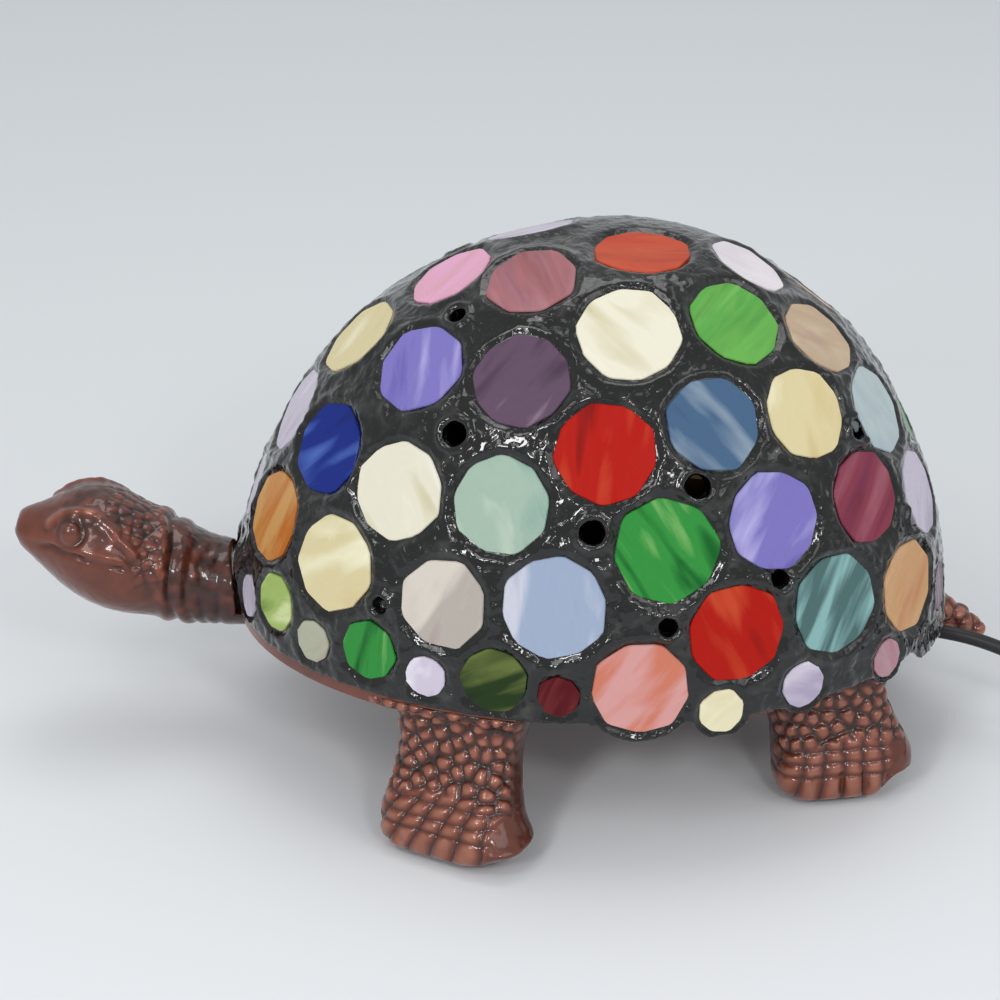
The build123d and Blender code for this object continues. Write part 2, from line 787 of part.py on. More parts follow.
def inner_lead(side):
    """Insulated lead from the strain relief to a terminal of the bulb holder."""
    inner_x = tub_rear_x - tub_wall - relief_flange_length
    start = Vector(inner_x, relief_y + side * 2 * lead_radius, relief_z)
    plane = terminal_plane(side)
    seat = plane.origin + plane.z_dir * terminal_height
    path = FilletPolyline(
        start,
        start + Vector(-2 * relief_flange_length, 0, 0),
        seat + plane.z_dir * 3 * terminal_radius,
        seat,
        radius=2 * lead_radius,
    )
    return swept(path, lead_radius)


def switch_block(bottom, height):
    """Slice of the switch's rounded housing."""
    outline = RectangleRounded(switch_length, switch_width, switch_corner_radius)
    middle_x = lead_route[-1][0] + switch_length / 2
    return Pos(middle_x, switch_y, bottom) * extrude(outline, height)


def make_switch():
    """In-line switch: base, cover with a well, rocker on its trunnions and the cover's screws."""
    middle_x = lead_route[-1][0] + switch_length / 2
    half = switch_height / 2
    base = switch_block(0, half)
    base = fillet(base.edges().group_by(Axis.Z)[0], switch_edge_round)
    cover = switch_block(half, half)
    cover = fillet(cover.edges().group_by(Axis.Z)[-1], switch_edge_round)
    pivot = Pos(middle_x, switch_y, switch_height - rocker_pivot_drop)
    well_z = switch_height - well_depth / 2
    well = Pos(middle_x, switch_y, well_z) * Box(well_length, well_width, well_depth)
    trunnion_length = rocker_width + 2 * rocker_pin_reach
    bearing_length = trunnion_length + 2 * hole_clearance
    bearing = pivot * Rot(90, 0, 0) * Cylinder(rocker_pin_radius + hole_clearance, bearing_length)
    spread = switch_screw_spread_share * switch_length / 2
    screw_head_z = switch_screw_head_height
    screws = []
    holes = []
    for side in (-1, 1):
        place = Pos(middle_x + side * spread, switch_y, 0)
        head = place * extrude(Circle(switch_screw_head_radius), screw_head_z)
        shank = place * extrude(Circle(switch_screw_radius), switch_screw_length)
        screws.append((head + shank).solid())
        holes.append(place * extrude(Circle(switch_screw_head_radius + hole_clearance), screw_head_z))
        hole_outline = Circle(switch_screw_radius + hole_clearance)
        holes.append(place * extrude(hole_outline, switch_screw_length + hole_clearance))
    base = base - holes
    cover = cover - [well, bearing, *holes]
    reach = rocker_length / 2
    outline = Polyline(
        (-reach, 0, rocker_top),
        (0, 0, rocker_top - rocker_dip),
        (reach, 0, rocker_top),
        (reach, 0, 0),
        (0, 0, -rocker_under),
        (-reach, 0, 0),
        close=True,
    )
    body = extrude(make_face(outline), rocker_width / 2, both=True)
    body += Rot(90, 0, 0) * Cylinder(rocker_pin_radius, trunnion_length)
    rocker = pivot * Rot(0, rocker_tilt, 0) * body
    return base, cover, rocker, Compound(children=screws)


def make_plug():
    """Moulded plug lying on its side, and its two blades."""
    start_x, y, z = end_route[-1]
    way = dict(x_dir=(0, 1, 0), z_dir=(-1, 0, 0))
    near, width, height = plug_waist_shares
    sections = [
        Plane((start_x, y, z), **way) * Circle(plug_nose_radius),
        Plane((start_x - near * plug_length, y, z), **way)
        * RectangleRounded(width * plug_width, height * plug_height, plug_nose_radius),
        Plane((start_x - (1 - near / 2) * plug_length, y, z), **way)
        * RectangleRounded(plug_width, plug_height, plug_round),
        Plane((start_x - plug_length, y, z), **way) * RectangleRounded(plug_width, plug_height, plug_round),
    ]
    body = loft(sections[1:], ruled=True) + loft(sections[:2])
    blades = []
    for side in (-1, 1):
        middle = (start_x - plug_length - blade_length / 2, y + side * blade_spacing / 2, z)
        blades.append((Pos(*middle) * Box(blade_length, blade_thickness, blade_width)).solid())
    return body, Compound(children=blades)


def main():
    nodes = {}
    nodes["solder_came"], glass = make_shell()
    for tint, panes in glass.items():
        nodes["glass_" + tint] = Compound(children=panes)

    nodes["tray_casting"] = make_tray()
    nodes["head_casting"] = make_head()
    front_foot = (front_foot_x, front_foot_y)
    rear_foot = (rear_foot_x, rear_foot_y)
    front_leg = leg((front_hip_x, front_hip_y), front_foot, front_leg_turn)
    rear_leg = leg((rear_hip_x, rear_hip_y), rear_foot, rear_leg_turn)
    nodes["front_left_leg"] = front_leg
    nodes["front_right_leg"] = mirror(front_leg, Plane.XZ)
    nodes["rear_left_leg"] = rear_leg
    nodes["rear_right_leg"] = mirror(rear_leg, Plane.XZ)
    pads = [foot_pad(front_foot, front_leg_turn), foot_pad(rear_foot, rear_leg_turn)]
    pads += [mirror(pad, Plane.XZ) for pad in pads]
    nodes["foot_pads"] = Compound(children=[pad.solid() for pad in pads])
    nodes["casting_screws"] = Compound(children=[casting_screw(x, y).solid() for x, y in screw_places()])

    nipple, nuts, washer, body, sleeve, contact = make_holder()
    nodes["holder_nipple"] = nipple
    nodes["nipple_nuts"] = nuts
    nodes["nipple_washer"] = washer
    terminals = [terminal_screw(side) for side in (-1, 1)]
    nodes["holder_body"] = body - terminals
    nodes["holder_sleeve"] = sleeve
    nodes["holder_contact"] = contact
    nodes["terminal_screws"] = Compound(children=[screw.solid() for screw in terminals])
    button, insulator, cap, envelope, stem, filament = make_bulb()
    nodes["bulb_button"] = button
    nodes["bulb_insulator"] = insulator
    nodes["bulb_cap"] = cap
    nodes["bulb_envelope"] = envelope
    nodes["bulb_stem"] = stem
    nodes["bulb_filament"] = filament

    nodes["cord_relief"] = make_relief()
    nodes["inner_leads"] = Compound(children=[inner_lead(side).solid() for side in (-1, 1)])
    nodes["cord_lead"] = cord_stretch(lead_route, "lead")
    nodes["cord_feed"] = cord_stretch(feed_route, "feed")
    nodes["cord_coil"] = make_coil()
    nodes["cord_end"] = cord_stretch(end_route, "end")
    nodes["coil_tie"] = make_tie()
    base, cover, rocker, screws = make_switch()
    nodes["switch_base"] = base
    nodes["switch_cover"] = cover
    nodes["switch_rocker"] = rocker
    nodes["switch_screws"] = screws
    nodes["plug_body"], nodes["plug_blades"] = make_plug()

    os.makedirs("parts", exist_ok=True)
    for name, node in nodes.items():
        export_step(node, os.path.join("parts", name + ".step"))


main()
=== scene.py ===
import math

import bmesh
import bpy
import numpy as np
from mathutils import Matrix, Vector, kdtree, noise


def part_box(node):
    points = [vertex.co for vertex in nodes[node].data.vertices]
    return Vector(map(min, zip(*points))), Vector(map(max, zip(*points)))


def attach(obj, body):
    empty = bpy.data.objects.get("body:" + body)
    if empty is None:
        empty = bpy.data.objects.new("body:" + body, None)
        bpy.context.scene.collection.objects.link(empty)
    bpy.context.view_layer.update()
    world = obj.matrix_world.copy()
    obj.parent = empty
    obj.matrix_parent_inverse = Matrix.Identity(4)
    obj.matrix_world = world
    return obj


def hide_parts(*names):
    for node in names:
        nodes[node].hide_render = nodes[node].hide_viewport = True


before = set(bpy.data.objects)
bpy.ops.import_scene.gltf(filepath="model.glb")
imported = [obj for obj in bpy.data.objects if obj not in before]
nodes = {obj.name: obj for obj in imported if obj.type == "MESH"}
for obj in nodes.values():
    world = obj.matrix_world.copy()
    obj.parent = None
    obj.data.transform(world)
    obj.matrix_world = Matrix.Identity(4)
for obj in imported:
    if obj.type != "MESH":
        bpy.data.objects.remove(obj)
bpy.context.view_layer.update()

# Lengths are in millimetres; those of the camera, the lights and the whole cord are in metres
MM = 0.001
UP = np.array([0.0, 0.0, 1.0])
MERGE = 0.001
SMOOTHING = 0.5
NOISE_SHIFT = (17.3, 5.1, 9.7)

# Camera: height above the table, distance and aim, for a square picture
CAMERA_ELEVATION = 27.0
CAMERA_DISTANCE = 0.850
CAMERA_AIM = Vector((-0.001, 0.0, 0.063))
CAMERA_LENS = 119.3

# Lights: name, place, size and power
LIGHTS = (
    ("key", (-0.45, -0.70, 1.05), 0.4, 2.2),
    ("fill", (0.80, -0.75, 0.85), 0.6, 1.9),
    ("top", (0.05, 0.30, 1.20), 0.6, 2.8),
    ("glint_left", (-0.40, -0.85, 0.60), 0.15, 2.1),
    ("glint_right", (0.30, -0.90, 0.70), 0.15, 1.8),
)
LIGHT_AIM = Vector((0.0, 0.0, 0.05))
WORLD_COLOR = (0.93, 0.95, 0.97, 1)
WORLD_STRENGTH = 0.64
# Floor: half its width, and its colour from the near end to the far end of a fade in metres; the darker far
# end is painted shade
FLOOR_REACH = 6000
FLOOR_SHADE_FADE = (-0.25, 0.75)
FLOOR_SHADE_STOPS = ((0.0, (223, 225, 228)), (1.0, (207, 213, 215)))

# Cord: to the switch, to the coil, to the plug
CORD_RADIUS = 1.8
LEAD_ROUTE = (
    (84.0, -4.0, 30.0), (96.0, -4.0, 30.0), (109.0, -7.3, 29.4), (122.0, -10.2, 28.2), (135.5, -14.0, 23.8),
    (148.5, -19.0, 16.2), (160.5, -24.2, 10.2), (172.0, -28.0, 8.0), (183.0, -28.0, 8.0),
)
FEED_ROUTE = (
    (237.0, -28.0, 8.0), (249.0, -28.0, 8.0), (261.0, -25.0, 5.8), (270.0, -15.5, 3.9), (274.0, 0.5, 3.3),
    (274.0, 14.0, 3.3),
)
END_ROUTE = (
    (274.0, 26.0, 15.45), (270.5, 40.0, 14.0), (260.0, 52.0, 11.6), (246.0, 58.5, 9.0), (233.0, 58.5, 9.0),
)
COIL_TURNS = 3
COIL_LAYERS = 4
COIL_PITCH = 4.05
COIL_RADIUS = 26.6
COIL_POINTS = 12
# Pieces that lie on the cord, and their finish
CORD_PIECES = {
    "switch_base": "plastic", "switch_cover": "plastic", "switch_rocker": "plastic", "switch_screws": "steel",
    "coil_tie": "cord", "plug_body": "plug", "plug_blades": "brass",
}

# Rounded edges of the CAD pieces that show
EDGE_ANGLE = 40.0
EDGE_SEGMENTS = 3
CORD_EDGE = 0.3
HOLDER_EDGE = 0.35
TRAY_EDGE = 0.7

# Bulb and holder: finish of each CAD piece, and those with rounded edges
HOLDER_PIECES = {
    "nipple_nuts": "brass", "nipple_washer": "steel", "holder_body": "plastic", "holder_sleeve": "brass",
    "holder_contact": "brass", "terminal_screws": "brass", "bulb_button": "steel", "bulb_insulator": "ink",
    "bulb_envelope": "clear", "bulb_stem": "clear", "bulb_filament": "steel", "inner_leads": "lead",
    "cord_relief": "cord", "casting_screws": "steel", "foot_pads": "pad",
}
ROUNDED_PIECES = ("nipple_nuts", "holder_body", "casting_screws", "foot_pads", "cord_relief")
# Threaded pieces: CAD node, name, finish, slot, body, depth and pitch of the thread, and wall
THREADS = (
    ("bulb_cap", "bulb_cap_thread", "brass", "bulb_metal", "bulb_cap", 0.35, 2.54, 0.4),
    ("holder_nipple", "nipple_thread", "steel", "steel_screw", "base", 0.3, 0.94, 1.4),
)
THREAD_POINTS = 48
THREAD_ROWS = 8
THREAD_ENDS = 6

# Shell: middle of the dome, and what counts as its outside by the slope of the surface
DOME_MIDDLE = np.array([27.4, 0.0, 40.0])
OUTSIDE = (0.1, 0.5)
# Solder: voxel and rounds of its skin, its bead beside the glass, and the pull of each pane on it
SOLDER_SKIN = (0.55, 4)
SOLDER_BEAD = 0.9
BEAD_WIDTH = 1.3
EDGE_STEP = 0.2
EDGE_DROP = 0.3
UNDER_PANE = 0.4
UNDER_EDGE = 0.1
PULL_WIDTH = 2.2
PULL_INSIDE = 1.5
PANE_DEPTH = 8.0
PANE_REACH = 30.0
NO_PANE = 40.0
# Lumps in the solder: depth, size and seed, where they begin beside a pane, and the smoother top
SOLDER_LUMPS = ((0.36, 3.4, 1), (0.22, 1.7, 6))
LUMPS_START = (0.1, 1.2)
TOP_SMOOTH = 0.6
TOP_FADE = (106.0, 122.0)
# Panes: corners, lap over the solder, ripples and chips, and the run of the grain
CORNER_CUT = 0.2
CORNER_POINTS = 4
PANE_TUCK = 0.8
PANE_LIFT = 0.1
PANE_RIPPLE = 0.05
RIPPLE_SIZE = 9.0
RIPPLE_SHIFT = 31.0
EDGE_CHIPS = 0.1
PANE_SEED = 500
GRAIN_SPIN = 1.2
GRAIN_SIZE = 10.0
GRAIN_SHIFT = 3.17
FULL_PANE = 9.0
# Rings of a pane's top: share of the outline, and drop below the top
PANE_RINGS = ((1.0, 0.3), (0.985, 0.0), (0.8, 0.0), (0.6, 0.0), (0.4, 0.0), (0.2, 0.0))

# Vents: place on the near flank and radius
VENTS = (
    ((-11.4, -20.4, 123.7), 2.0),
    ((-12.0, -44.9, 103.6), 2.9),
    ((20.9, -61.7, 85.6), 2.9),
    ((45.9, -56.0, 95.0), 2.9),
    ((66.3, -58.5, 71.6), 2.3),
    ((39.1, -68.1, 63.6), 2.0),
    ((-30.1, -54.3, 62.0), 1.7),
    ((86.4, -29.3, 97.3), 2.6),
    ((101.7, -26.2, 71.3), 2.3),
)
# Rim of a vent: height and width, distance from the hole, and the room that the panes leave
VENT_RIM = (0.8, 0.9)
VENT_RIM_OUT = 1.2
VENT_CLEAR = 0.9
# Vent filled with solder: the ball that fills it, and the blind dimple beside it with its edge and depth
VENT_FILL = ((-30.0, -53.4, 56.8), 2.4)
DIMPLE = (-30.1, -54.3, 62.0)
DIMPLE_EDGE = (2.1, 1.1)
DIMPLE_DEPTH = 2.2
# Front wall over the neck: how far it stands out, and where
NECK_WALL = 1.6
NECK_WALL_FRONT = -40.0
NECK_WALL_SIDE = (19.0, 14.0)
NECK_WALL_FOOT = (38.0, 49.0)
NECK_WALL_TOP = (57.0, 51.0)
# Rear border over the plate's edge beside the tail: how low it reaches, how far it stands out, and where
APRON_LOW = 35.0
APRON_OUT = 0.8
APRON_CELL = 0.03
APRON_RIM = 42.0
APRON_SKIN = (1.7, 0.9)
APRON_TOP = (39.7, 38.7)
APRON_FRONT = (96.0, 101.0)
APRON_TAIL = (9.0, 12.0)
APRON_SIDE = (36.0, 32.0)

# Panes of a shade of their own: place on the shell, colour and share of it
WASH_REACH = 3.0
WASHES = (
    ((33.9, -4.4, 132.2), (196, 84, 50), 0.7),
    ((-12.5, -1.8, 124.9), (220, 164, 194), 0.8),
    ((7.0, -15.8, 129.7), (176, 112, 112), 0.6),
    ((55.3, -23.4, 122.2), (112, 176, 84), 0.6),
    ((76.4, -13.7, 114.0), (176, 150, 130), 0.8),
    ((90.7, -16.8, 96.0), (184, 198, 196), 0.75),
    ((59.8, 0.0, 127.0), (226, 220, 222), 0.7),
    ((87.2, -35.4, 81.8), (128, 56, 84), 0.6),
    ((99.0, -32.9, 56.0), (214, 176, 144), 0.5),
    ((-46.3, -42.9, 46.2), (172, 176, 152), 0.8),
    ((93.8, -43.1, 41.4), (180, 122, 140), 0.7),
    ((13.2, -68.5, 45.5), (78, 6, 16), 0.8),
    ((52.1, -66.6, 40.4), (232, 228, 198), 0.7),
)

# Carving of the castings: width of the creases between scales, reach of a scale, and the height left uncarved
PEBBLE_CREASE = 0.6
PEBBLE_REACH = 0.85
PLAIN = 0.6

# Legs: place of the foot, turn of the broad face, and side
LEGS = {
    "front_left_leg": ((-12.5, -66.8), -28.0, 1),
    "front_right_leg": ((-12.5, 66.8), -28.0, -1),
    "rear_left_leg": ((86.5, -37.8), 10.0, 1),
    "rear_right_leg": ((86.5, 37.8), 10.0, -1),
}
FRONT_LEGS = ("front_left_leg", "front_right_leg")
# Voxel and rounds of their skin; size and depth of the scales; where the carving fades out, front and rear
LEG_SKIN = (0.5, 5)
LEG_SCALE = 3.1
LEG_CARVING = 1.05
LEG_FADE = ((38.3, 36.8), (35.4, 32.5))
SOLE_FADE = (1.9, 4.0)
SCALE_FACE = (-0.05, 0.45)
SCALE_LAP = 5.0
# Depth, size and seed of the grain and of the wobble in the toes' lines
LEG_GRAIN = (0.16, 2.4, 2)
TOE_WOBBLE = (0.5, 6.0, 9)
# Toes; the lean, flare and lift are for the front and rear legs
TOE_TOP = 18.0
TOE_EDGE = 1.2
TOE_ARCH = 0.012
TOE_FACE = (-0.3, 0.2)
TOE_WIDTH = 6.2
TOE_TAPER = 0.014
TOE_GROOVE = 0.92
TOE_ROUND = 2.4
TOE_CARVING = 0.25
TOE_LEAN = (0.32, 0.0)
HEEL = (8.5, 10.5)
KNUCKLE_ROW = 3.1
KNUCKLE_GROOVE = 0.8
CLAW_FADE = (8.0, 9.0)
FOOT_FLARE = (2.3, -1.8)
FLARE_ALONG = (2.0, 12.0)
FLARE_HEIGHT = (13.0, 5.0)
FOOT_LIFT = (3.0, 5.5)
LIFT_ALONG = (5.0, 15.0)
LIFT_HEIGHT = (10.0, 2.0)
# Tone of the bronze on a leg: middle, gain with the carving (patina and painted shade in the creases, wear
# and painted highlight on the tops), and how much darker the plain sides are, as painted shade
LEG_TONE = 0.5
LEG_RELIEF = 1.1
PAINTED_SIDE_SHADE = 0.2
# Front legs: how high their tops reach, and the planes that cut out the plate's edge above a left one
LEG_TOP = 35.4
HIP_TOP = 38.0
HIP_PROUD = 0.9
HIP_TUCK = 0.3
HIP_FADE = (-36.0, -28.0)
HIP_BLEND = (29.0, 34.0)
HIP_ROUNDS = 24
HIP_CUTS = (
    ((-37.0, 0.0, 0.0), (-1.0, 0.0, 0.0)),
    ((3.2, 0.0, 0.0), (1.0, 0.0, 0.0)),
    ((0.0, -45.0, 0.0), (0.0, 1.0, 0.0)),
    ((0.0, 0.0, 35.2), (0.0, 0.0, -1.0)),
)

# Head: voxel and rounds of its skin, and lines and places on one side of it
HEAD_SKIN = (0.5, 5)
BROW_LINE = (
    (-115.6, 7.8, 60.3), (-112.3, 7.6, 62.6), (-108.0, 8.6, 64.1), (-103.7, 9.6, 63.6), (-100.2, 11.4, 61.4),
    (-97.7, 13.3, 58.2), (-94.0, 14.2, 54.3),
)
MOUTH_LINE = (
    (-126.0, 0.0, 53.4), (-123.6, 3.5, 53.4), (-115.0, 11.2, 55.4), (-108.0, 15.7, 54.6), (-97.0, 16.3, 51.5),
)
EYE = (-110.0, 12.6, 60.0)
NOSTRIL = (-123.4, 3.0, 56.6)
# Height and width of each ridge; a groove has a height below 0
BROW = (1.3, 1.3)
BROW_HOLLOW = (-0.8, 1.3)
BROW_HOLLOW_DROP = 2.4
MOUTH = (-0.9, 0.7)
LIP = (0.6, 1.3)
LIP_RISE = 2.0
EYEBALL = (0.4, 2.2)
EYE_RING = (-0.7, 0.8)
EYE_RING_RADIUS = 3.5
NOSTRIL_RIM = (0.5, 1.6)
NOSTRIL_HOLE = (-0.9, 0.6)
# Neck: place and height of its folds; place, depth and added depth below of its creases; waves in both
NECK_FOLDS = ((-88.5, 0.8), (-83.0, 0.45))
FOLD_WIDTH = 1.7
FOLD_WAVE = 1.4
FOLD_SPAN = 6.0
NECK_CREASES = ((-86.0, 0.6, 0.0), (-80.6, 0.15, 0.35), (-76.0, 0.15, 0.35), (-72.0, 0.15, 0.35))
CREASE_WIDTH = 0.9
CREASE_WAVE = 1.6
CREASE_SPAN = 5.0
LOW_SIDE = (0.4, -0.4)
# Scales on the back of the head: size and seed, depth, and where they begin and end
HEAD_SCALES = (2.5, 3)
HEAD_CARVING = 0.45
HEAD_PLAIN = 0.55
ABOVE_BROW = (0.3, 2.0)
CLEAR_OF_BROW = (1.0, 3.0)
SCALES_FRONT = (-104.0, -99.0)
SCALES_REAR = (-65.0, -70.0)
SCALES_UP = (-0.25, 0.3)
SCALES_LEAST = 0.01
NAPE = (-91.0, -85.0)
NAPE_HEIGHT = 44.0
NAPE_SMOOTH = 0.75
HEAD_END = (-63.0, -69.0)
# Wrinkles on the crown and grain all over: depth, size and seed; the wrinkles run across
CROWN_WRINKLES = (0.25, 1.9, 4)
WRINKLE_STRETCH = np.array([1.0, 0.55, 1.0])
CROWN_REAR = (-94.0, -102.0)
CROWN_FRONT = (-118.0, -113.0)
CROWN_UP = (0.35, 0.7)
HEAD_GRAIN = (0.1, 2.2, 5)
# Dark patina on the crown and painted shade on the neck beside the shell, both in patches, and the tone of
# the bronze on the head, dark in the creases as patina and painted shade
PATINA_AND_SHADE_PATCHES = (0.9, 2.6, 7)
PATINA_AND_SHADE_SHARE = 0.6
PATINA_UP = (0.1, 0.8)
PATINA_FRONT = (-116.0, -108.0)
PAINTED_NECK_SHADE = (-98.0, -82.0)
PAINTED_NECK_SHADE_SHARE = 1.4
PATINA_AND_SHADE_DARK = 0.4
HEAD_TONE = 0.55
HEAD_RELIEF = 0.3
HEAD_SCALE_RELIEF = 0.4

# Tail: voxel and rounds of its skin, size and seed of its scales, their depth, and where they begin
TAIL_SKIN = (0.4, 3)
TAIL_SCALES = (3.1, 8)
TAIL_CARVING = 0.75
TAIL_PROUD = 0.3
TAIL_SIDE = 8.0
TAIL_START = 106.0
TAIL_FULL = 109.5
# Tone in the creases between the tail's scales: patina and painted shade
TAIL_TONE = 0.2


# Small helpers for meshes

def link_object(name, data):
    """Object in the scene, with its data."""
    obj = bpy.data.objects.new(name, data)
    bpy.context.collection.objects.link(obj)
    return obj


def mesh_object(name, points, faces):
    """Object from points in millimetres and faces."""
    mesh = bpy.data.meshes.new(name)
    mesh.from_pydata([Vector(point) * MM for point in points], [], faces)
    mesh.update()
    return link_object(name, mesh)


def cad_mesh(node):
    """Copy of a CAD node as a bmesh, with doubled points merged."""
    bm = bmesh.new()
    bm.from_mesh(nodes[node].data)
    bmesh.ops.remove_doubles(bm, verts=bm.verts, dist=MERGE * MM)
    return bm


def take_mesh(name, bm):
    """Mesh from a bmesh, which is freed."""
    mesh = bpy.data.meshes.new(name)
    bm.to_mesh(mesh)
    bm.free()
    return mesh


def shade_smooth(obj):
    """Smooth shading on all faces."""
    obj.data.polygons.foreach_set("use_smooth", [True] * len(obj.data.polygons))
    return obj


def settle(obj):
    """Applies an object's modifiers to its mesh."""
    shown = obj.evaluated_get(bpy.context.evaluated_depsgraph_get())
    mesh = bpy.data.meshes.new_from_object(shown)
    obj.modifiers.clear()
    obj.data = mesh


def soften(obj, rounds):
    """Smoothing modifier of some rounds."""
    smooth = obj.modifiers.new("soften", "SMOOTH")
    smooth.factor = SMOOTHING
    smooth.iterations = rounds
    return smooth


def skin_over(name, bm, voxel, rounds):
    """Even, softened skin over the closed meshes of a bmesh."""
    obj = link_object(name, take_mesh(name, bm))
    skin = obj.modifiers.new("skin", "REMESH")
    skin.mode = "VOXEL"
    skin.voxel_size = voxel * MM
    soften(obj, rounds)
    settle(obj)
    return shade_smooth(obj)


def read_points(mesh):
    """Points and normals of a mesh, in millimetres."""
    count = len(mesh.vertices)
    points = np.empty(count * 3)
    normals = np.empty(count * 3)
    mesh.vertices.foreach_get("co", points)
    mesh.vertices.foreach_get("normal", normals)
    return points.reshape(-1, 3) / MM, normals.reshape(-1, 3)


def write_points(mesh, points):
    """Sets the points of a mesh, in millimetres."""
    mesh.vertices.foreach_set("co", (points * MM).ravel())
    mesh.update()


def store(mesh, name, values):
    """Keeps a number or a vector for each point of a mesh, for its material."""
    kind, field = ("FLOAT", "value") if values.ndim == 1 else ("FLOAT_VECTOR", "vector")
    attribute = mesh.attributes.new(name, kind, "POINT")
    attribute.data.foreach_set(field, values.astype(np.float32).ravel())


def store_tone_and_shade(mesh, tone):
    """Keeps the tone of the bronze at each point: 0 in the creases, 1 on the high places; the dark creases
    are patina and painted shade, the light high places wear and painted highlight.
    """
    store(mesh, "relief", np.clip(tone, 0, 1))


def fold(points, side):
    """Points mirrored to one side of the part."""
    return np.column_stack([points[:, 0], side * np.abs(points[:, 1]), points[:, 2]])


def step(low, high, values):
    """Smooth step from 0 at low to 1 at high."""
    share = np.clip((values - low) / (high - low), 0, 1)
    return share * share * (3 - 2 * share)


def ridge(distance, height, width):
    """Rounded ridge: its height on its line, falling to 0 over its width."""
    return height * np.exp(-((distance / width) ** 2))


def zigzag(values):
    """Zigzag: 1 at whole numbers, 0 halfway between them."""
    return np.abs(2 * (values % 1) - 1)


def lumps(points, depth, size, seed):
    """Smooth noise of a given depth and size at each point."""
    shift = Vector([seed * value for value in NOISE_SHIFT])
    return depth * np.array([noise.noise(Vector(point) / size + shift) for point in points])


def near_line(points, line):
    """Distance of each point from a line of points."""
    least = np.full(len(points), np.inf)
    for start, end in zip(np.array(line), np.array(line[1:])):
        way = end - start
        share = np.clip((points - start) @ way / (way @ way), 0, 1)
        least = np.minimum(least, np.linalg.norm(points - start - share[:, None] * way, axis=1))
    return least


# Carving of the castings

def scatter(points, spacing, seed):
    """Points picked so that none are nearer than the spacing."""
    cells = {}
    chosen = []
    reach = [(x, y, z) for x in (-1, 0, 1) for y in (-1, 0, 1) for z in (-1, 0, 1)]
    for index in np.random.default_rng(seed).permutation(len(points)):
        point = points[index]
        cell = tuple((point // spacing).astype(int))
        near = [p for x, y, z in reach for p in cells.get((cell[0] + x, cell[1] + y, cell[2] + z), ())]
        if all(((point - p) ** 2).sum() > spacing**2 for p in near):
            cells.setdefault(cell, []).append(point)
            chosen.append(point)
    return chosen


def pebbles(points, zone, spacing, seed):
    """Height of pebble scales: 0 in the creases, 1 on their tops."""
    centres = scatter(points[zone], spacing, seed)
    tree = kdtree.KDTree(len(centres))
    for index, centre in enumerate(centres):
        tree.insert(centre, index)
    tree.balance()
    first = np.ones(len(points)) * spacing
    second = np.ones(len(points)) * spacing
    for index in np.flatnonzero(zone):
        found = tree.find_n(points[index], 2)
        first[index] = found[0][2]
        second[index] = found[1][2]
    crease = np.clip((second - first) / (PEBBLE_CREASE * spacing), 0, 1)
    dome = np.clip(1 - (first / (PEBBLE_REACH * spacing)) ** 2, 0, 1)
    return np.sqrt(crease * dome)


def cut_away(bm, place, outward):
    """Cuts off what lies past a plane, and closes the cut."""
    geometry = [*bm.verts, *bm.edges, *bm.faces]
    bmesh.ops.bisect_plane(bm, geom=geometry, plane_co=Vector(place) * MM, plane_no=outward, clear_outer=True)
    bmesh.ops.holes_fill(bm, edges=[edge for edge in bm.edges if edge.is_boundary])


def hip_edge(side):
    """Plate's edge over a front leg, a little proud of the plate."""
    edge = cad_mesh("tray_casting")
    flip = np.array([1, side, 1])
    for place, outward in HIP_CUTS:
        cut_away(edge, place * flip, outward * flip)
    for vert in edge.verts:
        proud = (HIP_PROUD + HIP_TUCK) * step(*HIP_FADE, vert.co.x / MM) - HIP_TUCK
        vert.co.y -= side * proud * MM
        vert.co.z = min(vert.co.z, HIP_TOP * MM)
    return take_mesh("hip_edge", edge)


def leg_body(name):
    """Softened skin of one leg; a front one runs up into the plate's edge, close under the shell."""
    bm = cad_mesh(name)
    if name not in FRONT_LEGS:
        return skin_over(name + "_skin", bm, *LEG_SKIN)
    for vert in bm.verts:
        if vert.co.z > LEG_TOP * MM:
            vert.co.z = HIP_TOP * MM
    side = LEGS[name][2]
    bm.from_mesh(hip_edge(side))
    leg = skin_over(name + "_skin", bm, *LEG_SKIN)
    top = leg.vertex_groups.new(name="top")
    points, _ = read_points(leg.data)
    for index, weight in enumerate(step(*HIP_BLEND, points[:, 2])):
        top.add([index], weight, "REPLACE")
    soften(leg, HIP_ROUNDS).vertex_group = "top"
    settle(leg)
    return leg


def toe_plates(points, across, pair):
    """Height of the toes: 0 in the grooves between toes and knuckles, 1 on the plates, plain at the heel."""
    height = points[:, 2]
    wobble = lumps(points, *TOE_WOBBLE)
    fan = across - TOE_LEAN[pair] * height
    column = zigzag((fan + wobble) / (TOE_WIDTH * (1 - TOE_TAPER * height)) + 0.5)
    row = zigzag((height + wobble) / KNUCKLE_ROW) * step(*CLAW_FADE, height)
    plates = np.sqrt(1 - TOE_GROOVE * column**TOE_ROUND) * np.sqrt(1 - KNUCKLE_GROOVE * row**2)
    return plates + (PLAIN - plates) * step(*HEEL, fan)


